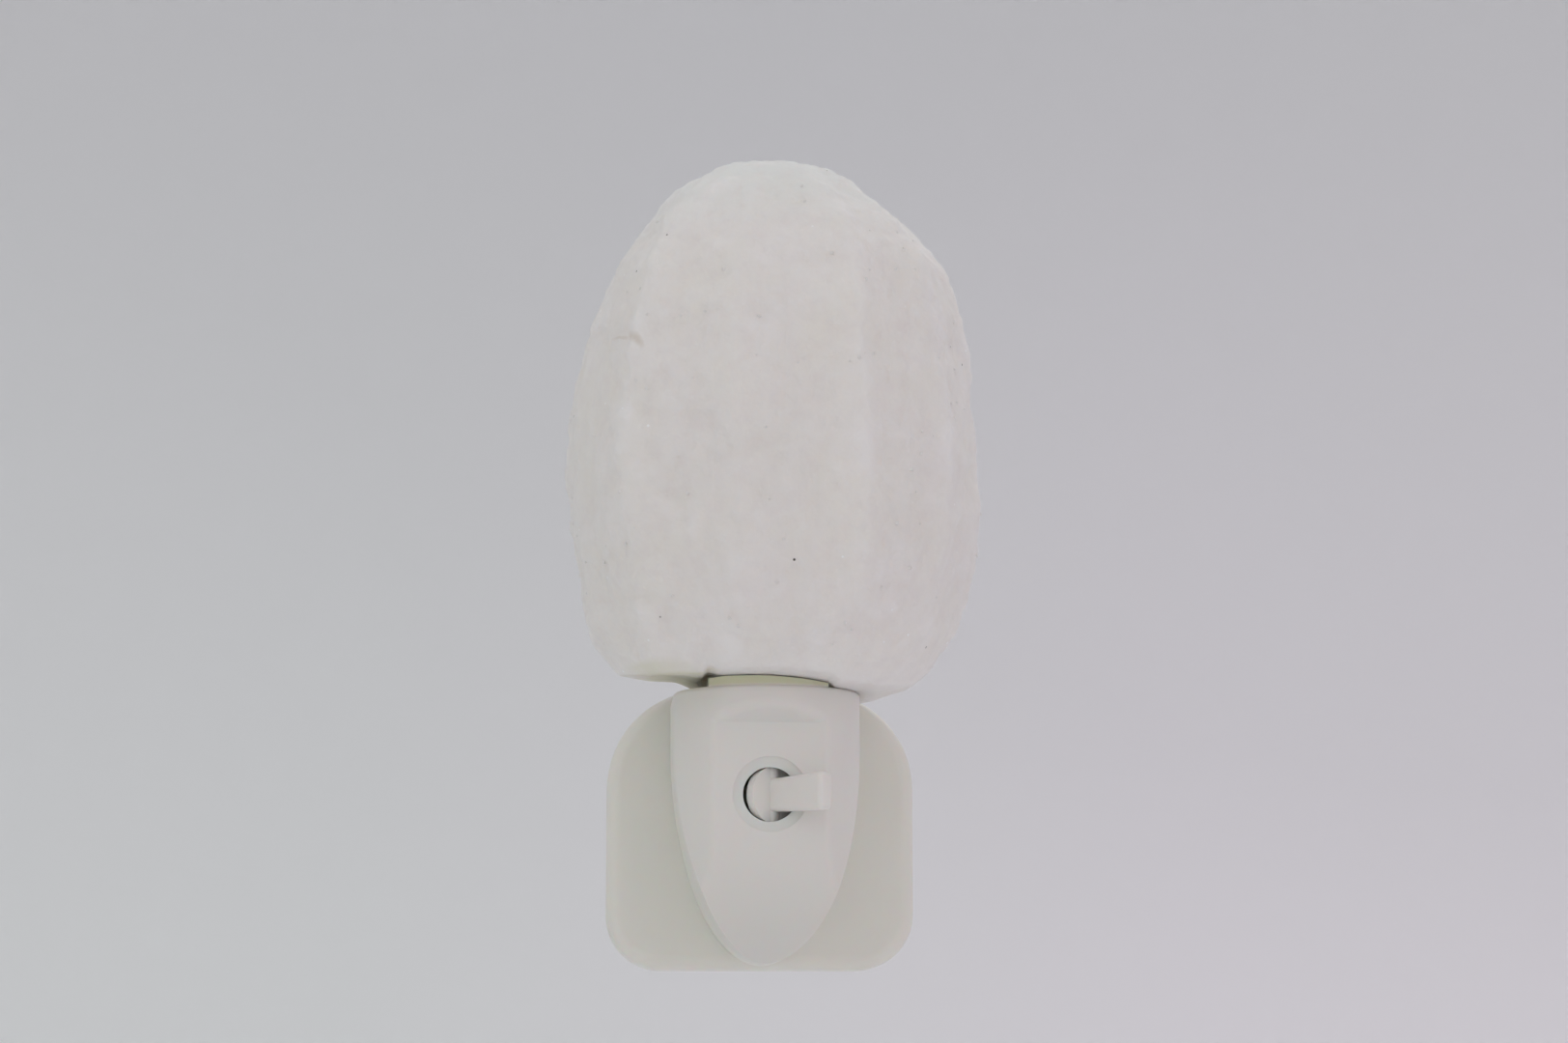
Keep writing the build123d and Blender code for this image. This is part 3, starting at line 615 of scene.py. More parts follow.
@dataclass(frozen=True)
class RockSalt(Finish):
    """Hewn rock salt: milky and sugary, with pale clouds, upright streaks, dark grit and a stain."""

    name: str = "rock_salt_hewn"
    milk: str = "#F2EDED"
    cloud: str = "#F1EDE5"
    cloud_mm: float = 14.0
    cloud_detail: float = 4.0
    # Painted light and shade: the top is painted cooler as if lit from above, and the underside on
    # the left is painted olive as shade, tinted by light bounced from the seat below it
    tints: tuple[Tint, ...] = (
        ("#EBEDEB", (("Z", 104.0, 121.0),)),
        ("#DDDAC2", (("Z", 27.8, 26.6), ("X", -9.0, -13.0), ("X", -27.0, -20.0),
                     ("Y", -53.0, -48.0))),
    )
    streaks: Veil = Veil("#EDE8E6", 1.8, 0.45, 0.75, 0.3, stretch=(1.0, 1.0, 0.12))
    mottles: Veil = Veil("#ECE5E3", 3.6, 0.50, 0.70, 0.38)
    patches: Veil = Veil("#F8F4F3", 9.0, 0.54, 0.76, 0.6, detail=4.0)
    stain: Stain = Stain("#BFAC93", (Streak((-24.9, -56.0, 83.9), 55.0, (2.5, 9.0, 1.0), 0.36),
                                     Streak((-27.2, -52.0, 84.9), 17.0, (2.6, 9.0, 0.5), 0.22)))
    # White dots painted into the salt's colour as glints: painted highlights
    painted_glints: Speck = Speck("#FFFFFF", 4.2, 0.30, 0.55)
    grit: Speck = Speck("#453D33", 8.0, 0.30, 0.30)
    grain_mm: float = 0.9
    grain_depth_mm: float = 0.16
    grain_strength: float = 0.45
    roughness: float = 0.62
    ior: float = 1.544
    glow: float = 0.8
    glow_mm: float = 11.0
    glow_shares: Place = (1.0, 0.92, 0.84)

    def paint(self, canvas: Canvas) -> dict:
        """Draw clouds and tints, lay the veils, the stain and the specks on them, and raise grain.

        Args:
            canvas: The new material.

        Returns:
            What the shader's inputs get.
        """
        tree = canvas.tree
        _, milky = canvas.clouded(self.cloud_mm, self.cloud_detail, (self.milk, self.cloud))
        tone = canvas.tinted(milky, self.tints)
        layers = (self.streaks, self.mottles, self.patches, self.stain, self.painted_glints, self.grit)
        masks = [layer.mask(canvas) for layer in layers]
        for mask, layer in zip(masks, layers):
            mixed = add_node(tree, "ShaderNodeMix", {0: mask, 6: tone, 7: linear(layer.colour)},
                             data_type="RGBA")
            tone = mixed.outputs[2]
        grains = add_node(tree, "ShaderNodeTexVoronoi",
                          {"Vector": canvas.coords, "Scale": repeat(self.grain_mm)})
        sugar = add_node(tree, "ShaderNodeTexNoise",
                         {"Vector": canvas.coords, "Scale": repeat(self.grain_mm / 2),
                          "Detail": 3.0})
        height = add_node(tree, "ShaderNodeMath",
                          {0: grains.outputs["Distance"], 1: sugar.outputs["Fac"]}, operation="ADD")
        bump = add_node(tree, "ShaderNodeBump",
                        {"Height": height.outputs[0], "Strength": self.grain_strength,
                         "Distance": self.grain_depth_mm * MM})
        # Light that spreads inside the salt would wash the specks out, so they don't glow
        painted_glints, grit = masks[-2:]
        specks = add_node(tree, "ShaderNodeMath", {0: painted_glints, 1: grit}, operation="MAXIMUM")
        glow = add_node(tree, "ShaderNodeMapRange",
                        {"Value": specks.outputs[0], 3: self.glow, 4: 0.0})
        return {"Base Color": tone, "Normal": bump.outputs["Normal"], "Roughness": self.roughness,
                "IOR": self.ior, "Subsurface Weight": glow.outputs[0],
                "Subsurface Radius": self.glow_shares, "Subsurface Scale": self.glow_mm * MM}


@dataclass(frozen=True)
class SeamlessPaper(Finish):
    """Matt studio paper with slow changes of tone."""

    colour: str
    tints: tuple[Tint, ...]
    roughness: float = 0.9

    def paint(self, canvas: Canvas) -> dict:
        """Draw the changing tone on a matt surface."""
        return {"Base Color": canvas.tinted(linear(self.colour), self.tints),
                "Roughness": self.roughness}


# Moulded ABS has a soft satin sheen, and light glows a little through its thin walls. Its tints are
# painted light and shade: the tongue is painted pinker than the plate as if lit, greyer low down as
# painted shade, and the seat under the crystal olive as painted shade
CASE_PLASTIC = EvenSolid("abs_case_ivory", "#F1EEE6", "#EDEAE1", 0.40, glow=0.25, glow_mm=3.0,
                         tints=(("#EEE9E4", (("Y", -14.0, -44.0),)),
                                ("#E7E4DE", (("Z", 0.0, -20.0), ("Y", -18.0, -28.0))),
                                ("#E0DDBE", (("Z", 23.3, 23.8), ("Y", -20.0, -30.0)))))
# The lever's ABS is polished by fingers, so it is a little paler and glossier than the case
LEVER_PLASTIC = EvenSolid("abs_lever_ivory", "#F3EFEA", "#EFEBE6", 0.36, glow=0.2, glow_mm=2.0)
# PBT for hot holders looks dull, dense and yellowish
HOLDER_PLASTIC = EvenSolid("pbt_holder_ivory", "#E9E5D3", "#E2DDCA", 0.52)
# Uncoloured nylon looks waxy and greyish
INNER_PLASTIC = EvenSolid("nylon_switch_natural", "#E4E0D4", "#DAD6C9", 0.55)
# Extruded PVC jackets have a half-matt skin
BLACK_JACKET = EvenSolid("pvc_wire_black", "#1A1A1B", "#242426", 0.45)
WHITE_JACKET = EvenSolid("pvc_wire_white", "#E9E8E4", "#DEDDD8", 0.45)
# The bulb's insulator is cast black glass, so it shines
BLACK_GLASS = EvenSolid("vitrite_insulator_black", "#0E0E10", "#17171A", 0.15, ior=1.6)
# Drawn brass is pale yellow, with lines along the blade
BLADE_BRASS = WorkedMetal("brass_blade_drawn", "#D9C58E", "#BFA868", 0.28, SurfaceGrain.DRAWN)
# Spun brass is warmer and brighter, with a grain drawn out along the shell's axis
SHELL_BRASS = WorkedMetal("brass_shell_spun", "#DDBE74", "#C3A259", 0.24, SurfaceGrain.SPUN)
# Stamped brass shows no direction, only duller patches
CONTACT_BRASS = WorkedMetal("brass_contact_stamped", "#D8BC78", "#BE9E58", 0.30)
# Zinc plating is bluish white and slightly cloudy
ZINC_STEEL = WorkedMetal("steel_zinc_plated", "#C9CBCC", "#AEB1B5", 0.30)
# Solder sets with a dull grey skin
SOLDER = WorkedMetal("solder_tip_dull", "#B9BABA", "#9A9C9E", 0.42)
# Tungsten wire is dark grey with a weak shine
TUNGSTEN = WorkedMetal("tungsten_filament", "#77787B", "#5A5B5F", 0.38, grain_mm=0.1)
# Blown glass is clear, and pressed glass is a little greener and duller
BULB_GLASS = ClearGlass("glass_bulb_blown", "#FBFCFA")
STEM_GLASS = ClearGlass("glass_stem_pressed", "#EEF4EF", roughness=0.08)
# Light runs far into rock salt, so it looks milky, and its broken face is sugary
SALT = RockSalt()
# A loose grain is one small crystal, smoother and brighter than the broken face
SALT_GRAIN = EvenSolid("rock_salt_grain", "#F4F1EF", "#E9E5E2", 0.30, cloud_mm=2.0, ior=1.544)
# Paper has no shine. It is painted a little lilac on the right, as painted light, and darker higher
# up, as painted shade
PAPER = SeamlessPaper("paper_seamless", "#F4F6F6", (("#FBF7FC", (("X", -150.0, 300.0),)),
                                                    ("#E7E7E9", (("Z", 0.0, 700.0),))))


# Sub-assemblies
@dataclass
class DressedAssembly:
    """A sub-assembly whose solids keep their shapes and get a finish each."""

    finishes: dict[str, Finish]

    def build(self, frame: dict) -> None:
        """Dress the pieces.
        """
        for name, finish in self.finishes.items():
            dress(frame["nodes"][name], finish.material())


@dataclass
class Case(DressedAssembly):
    """Moulded case: front with wall plate, tongue and collar, and the flat lid behind."""

    finishes: dict[str, Finish] = field(default_factory=lambda: {
        "front_cover": CASE_PLASTIC, "back_cover": CASE_PLASTIC})


@dataclass
class LidScrews:
    """The four pan-head screws of the lid, with dished cross recesses and ringed shanks."""

    node: str = "cover_screws"
    body: str = "case"
    slot: str = "steel"
    head_radius: float = 2.4
    head_height: float = 1.3
    # The head's rings lie close together where the recess is cut and wider apart outside it
    recess_rings: int = 12
    recess_rings_share: float = 0.6
    flat_shares: Pair = (0.7, 0.8)
    rim_turns_deg: tuple[float, ...] = (50.0, 65.0, 78.0, 86.0, 90.0)
    rim_power: float = 0.5
    rim_fall_share: float = 0.45
    skirt_share: float = 0.1
    underside_share: float = 0.96
    shank_radius: float = 1.28
    shank_length: float = 7.0
    tip_share: float = 0.5
    thread_pitch: float = 0.9
    thread_depth: float = 0.3
    recess_reach: float = 1.35
    recess_half: float = 0.32
    recess_depth: float = 0.75
    recess_taper_share: float = 0.6
    top_share: float = 0.99
    sides: int = 56
    weld_reach: float = 0.001

    def build(self, frame: dict) -> None:
        """Build the screws at the solids' places.
        """
        seats = new_object("lid_screws", self.seats(frame["nodes"][self.node]))
        shape = new_object("screw_shape", self.screw())
        tree, given = start_tree("screws_on_seats", {"Screw": "NodeSocketObject",
                                                     "Material": "NodeSocketMaterial"})
        info = add_node(tree, "GeometryNodeObjectInfo", {"Object": given["Screw"]})
        placed = add_node(tree, "GeometryNodeInstanceOnPoints",
                          {"Points": given["Geometry"], "Instance": info.outputs["Geometry"]})
        end_tree(tree, placed.outputs["Instances"], given["Material"])
        add_tree(seats, tree, {"Screw": shape, "Material": ZINC_STEEL.material()})
        piece = baked(seats)
        bpy.data.objects.remove(shape)
        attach(piece, self.body)
        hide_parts(self.node)
        log_piece(piece)

    def seats(self, node: Object) -> Mesh:
        """Find the middle of each screw's head.

        Args:
            node: The screws' model node.

        Returns:
            A mesh with one vertex under the middle of each head.
        """
        low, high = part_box(self.node)
        half = self.head_radius * MM
        points = [v.co for v in node.data.vertices]
        places = []
        for side in (low.x + half, high.x - half):
            for sign in (-1, 1):
                near = [p for p in points if abs(p.x - side) < 2 * half and p.z * sign > 0]
                xs = [p.x for p in near]
                zs = [p.z for p in near]
                places.append(((min(xs) + max(xs)) / 2, high.y - self.head_height * MM,
                               (min(zs) + max(zs)) / 2))
        mesh = bpy.data.meshes.new("screw_seats")
        mesh.from_pydata(places, [], [])
        return mesh

    def rings(self) -> list[Pair]:
        """List the screw's outline from the middle of its head to its tip.

        Returns:
            The radius and the level of each ring in millimetres.
        """
        step = self.head_radius * self.recess_rings_share / self.recess_rings
        rings = [(step * ring, self.head_height) for ring in range(self.recess_rings + 1)]
        rings += [(self.head_radius * share, self.head_height) for share in self.flat_shares]
        for turn_deg in self.rim_turns_deg:
            turn = math.radians(turn_deg)
            fall = self.rim_fall_share * (1 - math.cos(turn) ** self.rim_power)
            rings.append((self.head_radius * math.sin(turn) ** self.rim_power,
                          self.head_height * (1 - fall)))
        rings.append((self.head_radius, self.head_height * self.skirt_share))
        rings.append((self.head_radius * self.underside_share, 0.0))
        for turn in range(int(self.shank_length / self.thread_pitch)):
            base = -turn * self.thread_pitch
            rings.append((self.shank_radius - self.thread_depth, base))
            rings.append((self.shank_radius, base - self.thread_pitch / 2))
        rings.append((self.shank_radius * self.tip_share, -self.shank_length))
        rings.append((0.0, -self.shank_length))
        return rings

    def screw(self) -> Mesh:
        """Turn one screw, head towards +Y and its underside at the origin.

        Returns:
            The screw's mesh.
        """
        rings = self.rings()
        corners = []
        for radius, level in rings:
            for side in range(self.sides):
                turn = math.tau * side / self.sides
                x, z = radius * math.cos(turn), radius * math.sin(turn)
                corners.append((x * MM, (level - self.recess_at(x, z, level)) * MM, z * MM))
        mesh = bpy.data.meshes.new("screw_shape")
        mesh.from_pydata(corners, [], ring_faces(len(rings), self.sides))
        weld(mesh, self.weld_reach, turn_out=True)
        shade_smooth(mesh)
        return mesh

    def recess_at(self, x: float, z: float, level: float) -> float:
        """Work out the cross recess at a place on the screw.

        Args:
            x: Place across the head.
            z: Place up the head.
            level: Height over the head's underside.

        Returns:
            How deep the recess is there, in millimetres.
        """
        if level < self.head_height * self.top_share:
            return 0.0
        arm, off = max(abs(x), abs(z)), min(abs(x), abs(z))
        if arm > self.recess_reach or off > self.recess_half:
            return 0.0
        return self.recess_depth * (1 - self.recess_taper_share * arm / self.recess_reach)


@dataclass
class Plug(DressedAssembly):
    """The two plug blades, the bar that clamps them and the small screws."""

    finishes: dict[str, Finish] = field(default_factory=lambda: {
        "blade_neutral": BLADE_BRASS, "blade_live": BLADE_BRASS,
        "blade_retainer": INNER_PLASTIC, "small_screws": ZINC_STEEL})


@dataclass
class LampHolder(DressedAssembly):
    """Candelabra holder: moulded sleeve, brass shell, sprung contact and push-on ring."""

    finishes: dict[str, Finish] = field(default_factory=lambda: {
        "holder_sleeve": HOLDER_PLASTIC, "holder_shell": SHELL_BRASS,
        "centre_contact": CONTACT_BRASS, "holder_ring": ZINC_STEEL})


@dataclass
class Bulb(DressedAssembly):
    """Clear candelabra bulb with a coiled filament on two leads."""

    finishes: dict[str, Finish] = field(default_factory=lambda: {
        "bulb_glass": BULB_GLASS, "bulb_shell": SHELL_BRASS, "bulb_insulator": BLACK_GLASS,
        "bulb_tip": SOLDER, "bulb_stem": STEM_GLASS, "bulb_leads": ZINC_STEEL})
    filament_node: str = "bulb_filament"
    body: str = "case"
    slot: str = "filament"
    arch_points: int = 64
    coil_turns: int = 26
    coil_radius: float = 0.20
    wire_radius: float = 0.05
    wire_sides: int = 6
    points_a_turn: int = 10

    def build(self, frame: dict) -> None:
        """Dress the bulb and wind its filament.
        """
        super().build(frame)
        piece = self.filament()
        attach(piece, self.body)
        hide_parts(self.filament_node)
        log_piece(piece)

    def filament(self) -> Object:
        """Wind a fine coil along the filament's arch.

        Returns:
            The coil as one piece.
        """
        low, high = (Vector(v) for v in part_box(self.filament_node))
        middle_y = (low.y + high.y) / 2
        inset = (high.y - low.y) / 2
        start = Vector((low.x + inset, middle_y, low.z + inset))
        top = Vector(((low.x + high.x) / 2, middle_y, high.z - inset))
        end = Vector((high.x - inset, middle_y, low.z + inset))
        made = new_object("filament_coil", bpy.data.meshes.new("filament_coil"))
        add_tree(made, self.coil_tree(), {
            "Start": start, "Top": top, "End": end, "Turns": self.coil_turns,
            "Points": self.points_a_turn, "Coil": self.coil_radius * MM,
            "Wire": self.wire_radius * MM, "Material": TUNGSTEN.material()})
        return baked(made)

    def coil_tree(self) -> NodeTree:
        """Make the geometry tree that winds a wire round an arch.

        Returns:
            The tree.
        """
        tree, given = start_tree("coil_on_arch", {
            "Start": "NodeSocketVector", "Top": "NodeSocketVector", "End": "NodeSocketVector",
            "Turns": "NodeSocketInt", "Points": "NodeSocketInt", "Coil": "NodeSocketFloat",
            "Wire": "NodeSocketFloat", "Material": "NodeSocketMaterial"})
        arch = add_node(tree, "GeometryNodeCurveArc",
                        {"Resolution": self.arch_points, "Start": given["Start"],
                         "Middle": given["Top"], "End": given["End"]}, mode="POINTS")
        steps = add_node(tree, "ShaderNodeMath", {0: given["Turns"], 1: given["Points"]},
                         operation="MULTIPLY")
        fine = add_node(tree, "GeometryNodeResampleCurve",
                        {"Curve": arch.outputs["Curve"], "Count": steps.outputs[0]})
        along = add_node(tree, "GeometryNodeSplineParameter")
        turned = add_node(tree, "ShaderNodeMath", {0: along.outputs["Factor"], 1: given["Turns"]},
                          operation="MULTIPLY")
        angle = add_node(tree, "ShaderNodeMath", {0: turned.outputs[0], 1: math.tau},
                         operation="MULTIPLY")
        tangent = add_node(tree, "GeometryNodeInputTangent")
        offset = add_node(tree, "ShaderNodeCombineXYZ", {"Y": given["Coil"]})
        spun = add_node(tree, "ShaderNodeVectorRotate",
                        {"Vector": offset.outputs["Vector"], "Axis": tangent.outputs["Tangent"],
                         "Angle": angle.outputs[0]})
        coil = add_node(tree, "GeometryNodeSetPosition",
                        {"Geometry": fine.outputs["Curve"], "Offset": spun.outputs["Vector"]})
        wire = add_node(tree, "GeometryNodeCurvePrimitiveCircle",
                        {"Resolution": self.wire_sides, "Radius": given["Wire"]})
        solid = add_node(tree, "GeometryNodeCurveToMesh",
                         {"Curve": coil.outputs["Geometry"], "Profile Curve": wire.outputs["Curve"],
                          "Fill Caps": True})
        end_tree(tree, solid.outputs["Mesh"], given["Material"])
        return tree


@dataclass
class ToggleSwitch(DressedAssembly):
    """Toggle switch: lever, frame, pin, slide and contacts."""

    finishes: dict[str, Finish] = field(default_factory=lambda: {
        "switch_lever": LEVER_PLASTIC, "switch_frame": INNER_PLASTIC, "pivot_pin": ZINC_STEEL,
        "switch_slider": INNER_PLASTIC, "bridge_contact": CONTACT_BRASS,
        "line_terminal": CONTACT_BRASS, "lamp_terminal": CONTACT_BRASS})


@dataclass
class Wiring(DressedAssembly):
    """The three insulated wires inside the case."""

    finishes: dict[str, Finish] = field(default_factory=lambda: {
        "wire_line": BLACK_JACKET, "wire_switched": BLACK_JACKET, "wire_neutral": WHITE_JACKET})


@dataclass
class SaltCrystal:
    """The crystal: the lofted solid with broken edges, waves, streaks, pits and loose grains."""

    node: str = "salt_crystal"
    body: str = "crystal"
    slot: str = "salt"
    axis_y: float = -30.0
    weld_reach: float = 0.002
    voxel: float = 0.62
    soften_rounds: int = 9
    soften_step: float = 0.6
    foot_soften_share: float = 0.3
    bore_margin: float = 1.9
    bore_over_bulb: float = 10.0
    foot_margin: float = 0.5
    fade: float = 3.0
    # Each wave has its length and its depth
    waves: tuple[Pair, ...] = ((15.0, 0.40), (5.5, 0.50), (2.4, 0.36), (1.3, 0.16))
    scallop_mm: float = 11.0
    scallop_depth: float = 0.7
    scallop_edge: float = 0.35
    streak_mm: float = 3.0
    streak_stretch: float = 0.14
    streak_depth: float = 0.16
    left_lift: float = 1.7
    left_span: Pair = (8.5, 13.0)
    back_lift: float = 1.7
    back_side: Pair = (11.2, 17.0)
    back_span: Pair = (-50.0, -25.0)
    right_drop: float = 0.4
    right_drop_span: Pair = (16.8, 18.5)
    right_lift: float = 1.6
    right_lift_span: Pair = (17.5, 27.0)
    slant_reach: float = 16.0
    crown_peak: Pair = (0.8, -30.0)
    crown_drop: float = 0.9
    crown_span: Pair = (1.0, 7.5)
    crown_depth: float = 7.0
    grain_density: float = 8000.0
    grain_sizes: Pair = (0.25, 0.6)
    grain_seed: int = 7
    grain_least_share: float = 0.98

    def build(self, frame: dict) -> None:
        """Build the crystal and its grains and fasten them to their body.
        """
        piece = self.lump(frame["nodes"][self.node])
        outer = self.weather(piece)
        dress(piece, SALT.material())
        grains = self.grains(piece, outer)
        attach(piece, self.body)
        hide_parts(self.node)
        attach(grains, self.body)
        log_piece(piece)
        log_piece(grains)

    def lump(self, node: Object) -> Object:
        """Copy the solid and remesh it evenly.

        Args:
            node: The crystal's model node.

        Returns:
            A new object with an even mesh of the same shape.
        """
        mesh = node.data.copy()
        weld(mesh, self.weld_reach)
        piece = new_object("salt_lump", mesh)
        remesh = piece.modifiers.new("even", "REMESH")
        remesh.mode = "VOXEL"
        remesh.voxel_size = self.voxel * MM
        return baked(piece)

    def outside_share(self, points: np.ndarray) -> np.ndarray:
        """Tell the outside from the bore.

        Args:
            points: Vertex places in millimetres.

        Returns:
            For each vertex, 1 on the outside and 0 in the bore.
        """
        low, high = (np.array(v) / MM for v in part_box("bulb_glass"))
        bore = (high[0] - low[0]) / 2 + self.bore_margin
        bore_top = high[2] + self.bore_over_bulb + self.bore_margin
        reach = np.hypot(points[:, 0], points[:, 1] - self.axis_y)
        outside = smooth_step(reach, bore, bore + self.fade)
        return np.maximum(outside, smooth_step(points[:, 2], bore_top, bore_top + self.fade))

    def weather(self, piece: Object) -> np.ndarray:
        """Round the edges, roughen the outside and shape the foot and the top.

        Args:
            piece: The even lump.

        Returns:
            For each vertex, how far it belongs to the outside.
        """
        mesh = piece.data
        points = np.zeros(len(mesh.vertices) * 3)
        mesh.vertices.foreach_get("co", points)
        points = points.reshape(-1, 3) / MM
        lowest, highest = points.min(0), points.max(0)
        outside = self.outside_share(points)
        foot = lowest[2] + self.foot_margin
        above_foot = smooth_step(points[:, 2], foot, foot + self.fade)
        yielding = self.foot_soften_share + (1 - self.foot_soften_share) * above_foot
        points = self.soften(mesh, points, outside * yielding)
        mesh.vertices.foreach_set("co", (points * MM).ravel())
        mesh.update()
        normals = np.zeros(len(mesh.vertices) * 3)
        mesh.vertices.foreach_get("normal", normals)
        hewn = outside * above_foot
        depth = self.roughness_at(points) * hewn
        points += normals.reshape(-1, 3) * depth[:, None]
        points = np.clip(points, lowest, highest)
        points[:, 2] += self.foot_slant(points, lowest[2]) - self.crown_fall(points, highest[2])
        mesh.vertices.foreach_set("co", (points * MM).ravel())
        shade_smooth(mesh)
        mesh.update()
        return hewn

    def soften(self, mesh: Mesh, points: np.ndarray, outside: np.ndarray) -> np.ndarray:
        """Average each outside vertex with its neighbours, a few times.

        Args:
            mesh: The mesh whose edges join neighbours.
            points: Vertex places in millimetres.
            outside: How far each vertex may move.

        Returns:
            The smoothed places.
        """
        edges = np.zeros(len(mesh.edges) * 2, int)
        mesh.edges.foreach_get("vertices", edges)
        first, second = edges.reshape(-1, 2).T
        count = np.bincount(edges, minlength=len(points))[:, None]
        for _ in range(self.soften_rounds):
            total = np.zeros_like(points)
            np.add.at(total, first, points[second])
            np.add.at(total, second, points[first])
            points = points + (total / count - points) * (outside * self.soften_step)[:, None]
        return points

    def roughness_at(self, points: np.ndarray) -> np.ndarray:
        """Work out how far each outside vertex moves along its normal.

        Args:
            points: Vertex places in millimetres.

        Returns:
            Moves in millimetres, outwards where positive.
        """
        moves = np.zeros(len(points))
        for i, point in enumerate(points):
            place = Vector(point)
            move = 0.0
            for size, depth in self.waves:
                move += depth * noise.noise(place / size)
            near = noise.voronoi(place / self.scallop_mm)[0]
            move -= self.scallop_depth * max(0.0, self.scallop_edge - (near[1] - near[0]))
            tall = Vector((place.x, place.y, place.z * self.streak_stretch))
            move += self.streak_depth * noise.noise(tall / self.streak_mm)
            moves[i] = move
        return moves

    def foot_slant(self, points: np.ndarray, foot: float) -> np.ndarray:
        """Raise the foot's sides, the left most at the back, with a slight drop on the right first.

        Args:
            points: Vertex places in millimetres.
            foot: Height of the foot.

        Returns:
            The rise of each vertex in millimetres.
        """
        rise = self.left_lift * smooth_step(-points[:, 0], *self.left_span)
        rise += (self.back_lift * smooth_step(-points[:, 0], *self.back_side)
                 * smooth_step(points[:, 1], *self.back_span))
        rise -= self.right_drop * smooth_step(points[:, 0], *self.right_drop_span)
        rise += self.right_lift * smooth_step(points[:, 0], *self.right_lift_span)
        return rise * (1 - smooth_step(points[:, 2], foot, foot + self.slant_reach))

    def crown_fall(self, points: np.ndarray, top: float) -> np.ndarray:
        """Round the top off around its peak.

        Args:
            points: Vertex places in millimetres.
            top: Height of the peak.

        Returns:
            The fall of each vertex in millimetres.
        """
        away = np.hypot(points[:, 0] - self.crown_peak[0], points[:, 1] - self.crown_peak[1])
        high = smooth_step(points[:, 2], top - self.crown_depth, top)
        return self.crown_drop * smooth_step(away, *self.crown_span) * high

    def grains(self, piece: Object, outer: np.ndarray) -> Object:
        """Scatter small salt cubes over the outside.

        Args:
            piece: The finished lump.
            outer: How far each vertex belongs to the outside.

        Returns:
            The grains as one piece.
        """
        made = new_object("salt_grains", piece.data.copy())
        share = made.data.attributes.new("outer", "FLOAT", "POINT")
        share.data.foreach_set("value", (outer > self.grain_least_share).astype(np.float32))
        tree, given = start_tree("salt_grain_scatter", {
            "Density": "NodeSocketFloat", "Smallest": "NodeSocketFloat",
            "Largest": "NodeSocketFloat", "Seed": "NodeSocketInt",
            "Material": "NodeSocketMaterial"})
        mask = add_node(tree, "GeometryNodeInputNamedAttribute", {"Name": "outer"})
        seats = add_node(tree, "GeometryNodeDistributePointsOnFaces",
                         {"Mesh": given["Geometry"], "Selection": mask.outputs[0],
                          "Density": given["Density"], "Seed": given["Seed"]})
        cube = add_node(tree, "GeometryNodeMeshCube", {"Size": (1.0, 1.0, 1.0)})
        size = add_node(tree, "FunctionNodeRandomValue",
                        {2: given["Smallest"], 3: given["Largest"], "Seed": given["Seed"]},
                        data_type="FLOAT")
        turn = add_node(tree, "FunctionNodeRandomValue",
                        {0: (0.0, 0.0, 0.0), 1: (math.tau, math.tau, math.tau),
                         "Seed": given["Seed"]}, data_type="FLOAT_VECTOR")
        placed = add_node(tree, "GeometryNodeInstanceOnPoints",
                          {"Points": seats.outputs["Points"], "Instance": cube.outputs["Mesh"],
                           "Rotation": turn.outputs[0], "Scale": size.outputs[1]})
        end_tree(tree, placed.outputs["Instances"], given["Material"])
        add_tree(made, tree, {
            "Density": self.grain_density, "Smallest": self.grain_sizes[0] * MM,
            "Largest": self.grain_sizes[1] * MM, "Seed": self.grain_seed,
            "Material": SALT_GRAIN.material()})
        return baked(made)


@dataclass(frozen=True)
class SoftLight:
    """A round soft light: its name, place, diameter, power in watts and colour."""

    name: str
    place: Place
    size: float
    power: float
    colour: str


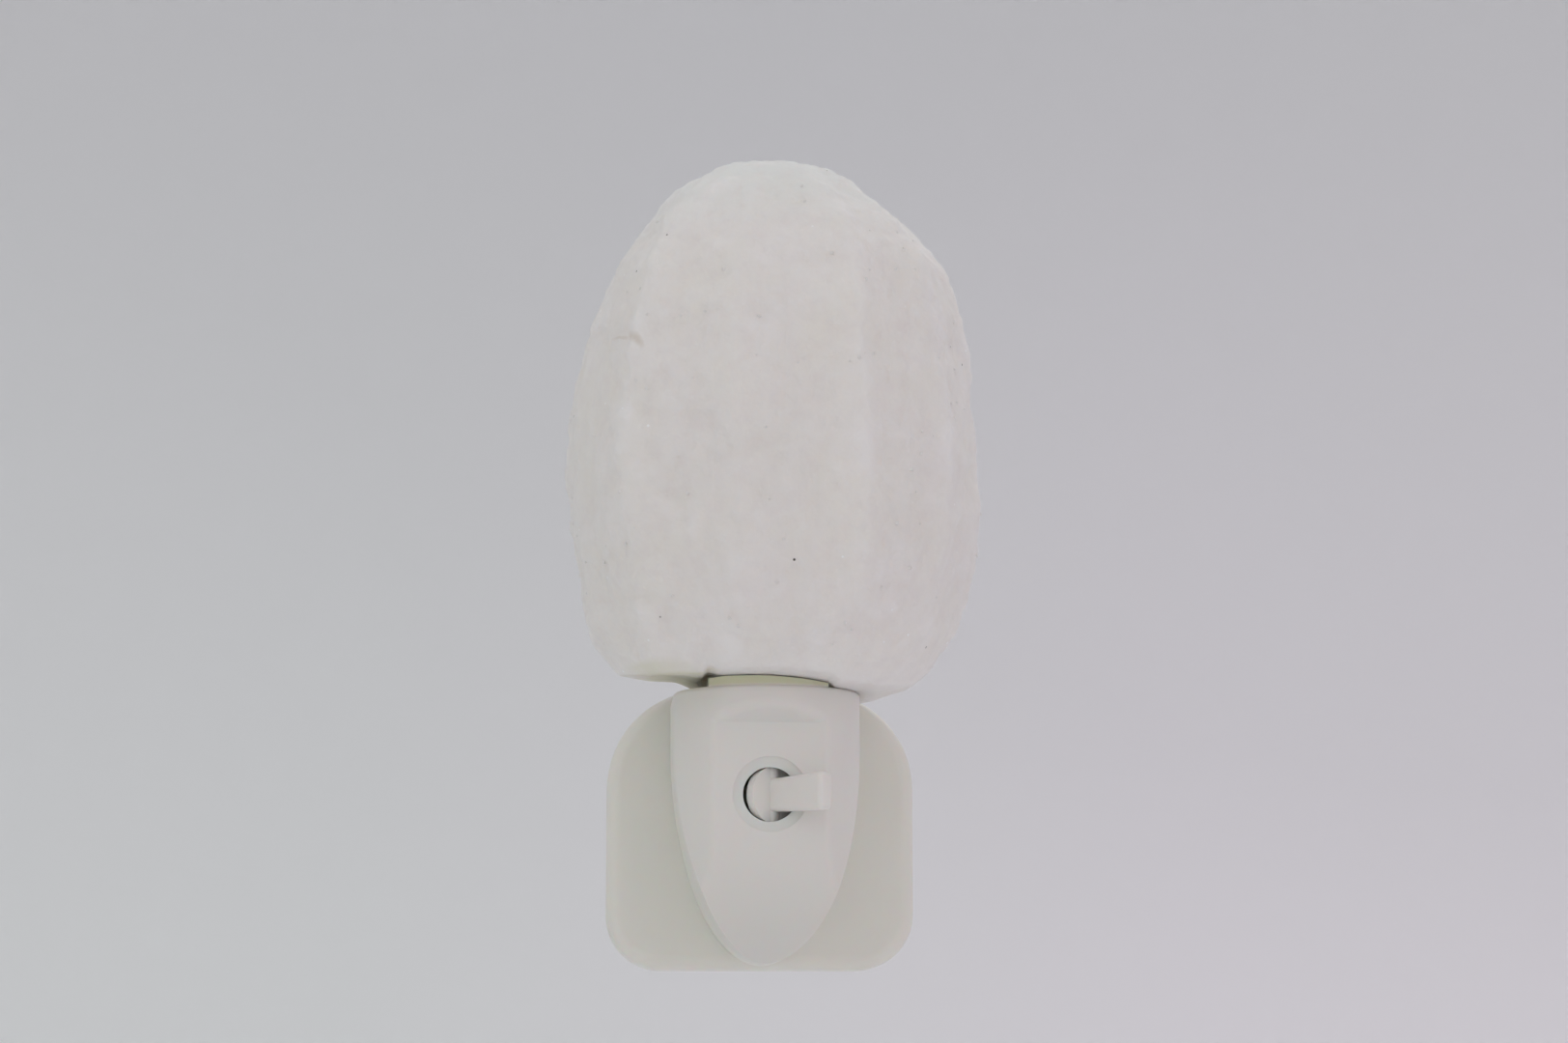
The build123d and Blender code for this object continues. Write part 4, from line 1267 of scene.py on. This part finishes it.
@dataclass
class Studio:
    """Pale seamless bowl, soft lights and the camera."""

    floor_level: float = -200.0
    bowl_radius: float = 1500.0
    bowl_bend: float = 800.0
    bowl_height: float = 2000.0
    bowl_sides: int = 96
    floor_rings: int = 6
    bend_rings: int = 15
    sky_colour: str = "#FFFFFF"
    sky_strength: float = 0.76
    lens: float = 80.0
    sensor: float = 36.0
    clip_start: float = 10.0
    camera_place: Place = (-36.7, -665.7, -45.4)
    target: Place = (3.57, -25.0, 56.32)
    lights: tuple[SoftLight, ...] = (
        SoftLight("key", (-450.0, -650.0, 450.0), 600.0, 0.62, "#FCFFFC"),
        SoftLight("fill", (330.0, -620.0, 200.0), 420.0, 0.30, "#FFF7F7"),
        SoftLight("rim", (500.0, 700.0, 700.0), 600.0, 0.8, "#FFFFFF"),
    )

    def build(self) -> None:
        """Build the bowl, the sky, the lights and the camera."""
        self.bowl()
        self.sky()
        for light in self.lights:
            self.hang(light)
        self.camera()

    def bowl(self) -> None:
        """Turn a floor that curves up into a wall all round."""
        flat = self.bowl_radius - self.bowl_bend
        outline = [(flat * ring / self.floor_rings, 0.0) for ring in range(self.floor_rings + 1)]
        for ring in range(1, self.bend_rings + 1):
            turn = math.pi / 2 * ring / self.bend_rings
            outline.append((flat + self.bowl_bend * math.sin(turn),
                            self.bowl_bend * (1 - math.cos(turn))))
        outline.append((self.bowl_radius, self.bowl_height))
        turns = [math.tau * side / self.bowl_sides for side in range(self.bowl_sides)]
        corners = [(radius * math.cos(turn) * MM, radius * math.sin(turn) * MM,
                    (self.floor_level + height) * MM)
                   for radius, height in outline for turn in turns]
        mesh = bpy.data.meshes.new("studio_bowl")
        mesh.from_pydata(corners, [], ring_faces(len(outline), self.bowl_sides))
        shade_smooth(mesh)
        bowl = new_object("studio_bowl", mesh)
        dress(bowl, PAPER.material())

    def sky(self) -> None:
        """Light the open top of the bowl evenly."""
        world = bpy.data.worlds.new("soft_sky")
        bpy.context.scene.world = world
        world.use_nodes = True
        feed(world.node_tree, world.node_tree.nodes["Background"],
             {"Color": linear(self.sky_colour), "Strength": self.sky_strength})

    def aim(self, thing: Object, place: Place) -> None:
        """Put a light or the camera in the scene, facing the lamp.

        Args:
            thing: The light or the camera.
            place: Where it goes, in millimetres.
        """
        thing.location = Vector(place) * MM
        sight = Vector(self.target) * MM - thing.location
        thing.rotation_euler = sight.to_track_quat("-Z", "Y").to_euler()
        bpy.context.scene.collection.objects.link(thing)

    def hang(self, light: SoftLight) -> None:
        """Hang one soft light.

        Args:
            light: The light's size, place and colour.
        """
        data = bpy.data.lights.new(light.name, "AREA")
        data.shape = "DISK"
        data.size = light.size * MM
        data.energy = light.power
        data.color = linear(light.colour)[:3]
        self.aim(bpy.data.objects.new(light.name, data), light.place)

    def camera(self) -> None:
        """Set the camera at the photograph's angle."""
        data = bpy.data.cameras.new("photo_camera")
        data.lens = self.lens
        data.sensor_width = self.sensor
        data.sensor_fit = "HORIZONTAL"
        data.clip_start = self.clip_start * MM
        camera = bpy.data.objects.new("photo_camera", data)
        self.aim(camera, self.camera_place)
        bpy.context.scene.camera = camera


def main() -> None:
    """Load the frame, dress the lamp and set the studio."""
    logging.basicConfig(level=logging.INFO, format="%(name)s: %(message)s")
    for thing in list(bpy.data.objects):
        bpy.data.objects.remove(thing)
    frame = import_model()
    bpy.context.scene.view_settings.view_transform = "Standard"
    for assembly in (Case(), LidScrews(), Plug(), LampHolder(), Bulb(), ToggleSwitch(), Wiring(),
                     SaltCrystal()):
        assembly.build(frame)
    Studio().build()


if __name__ == "__main__":
    main()
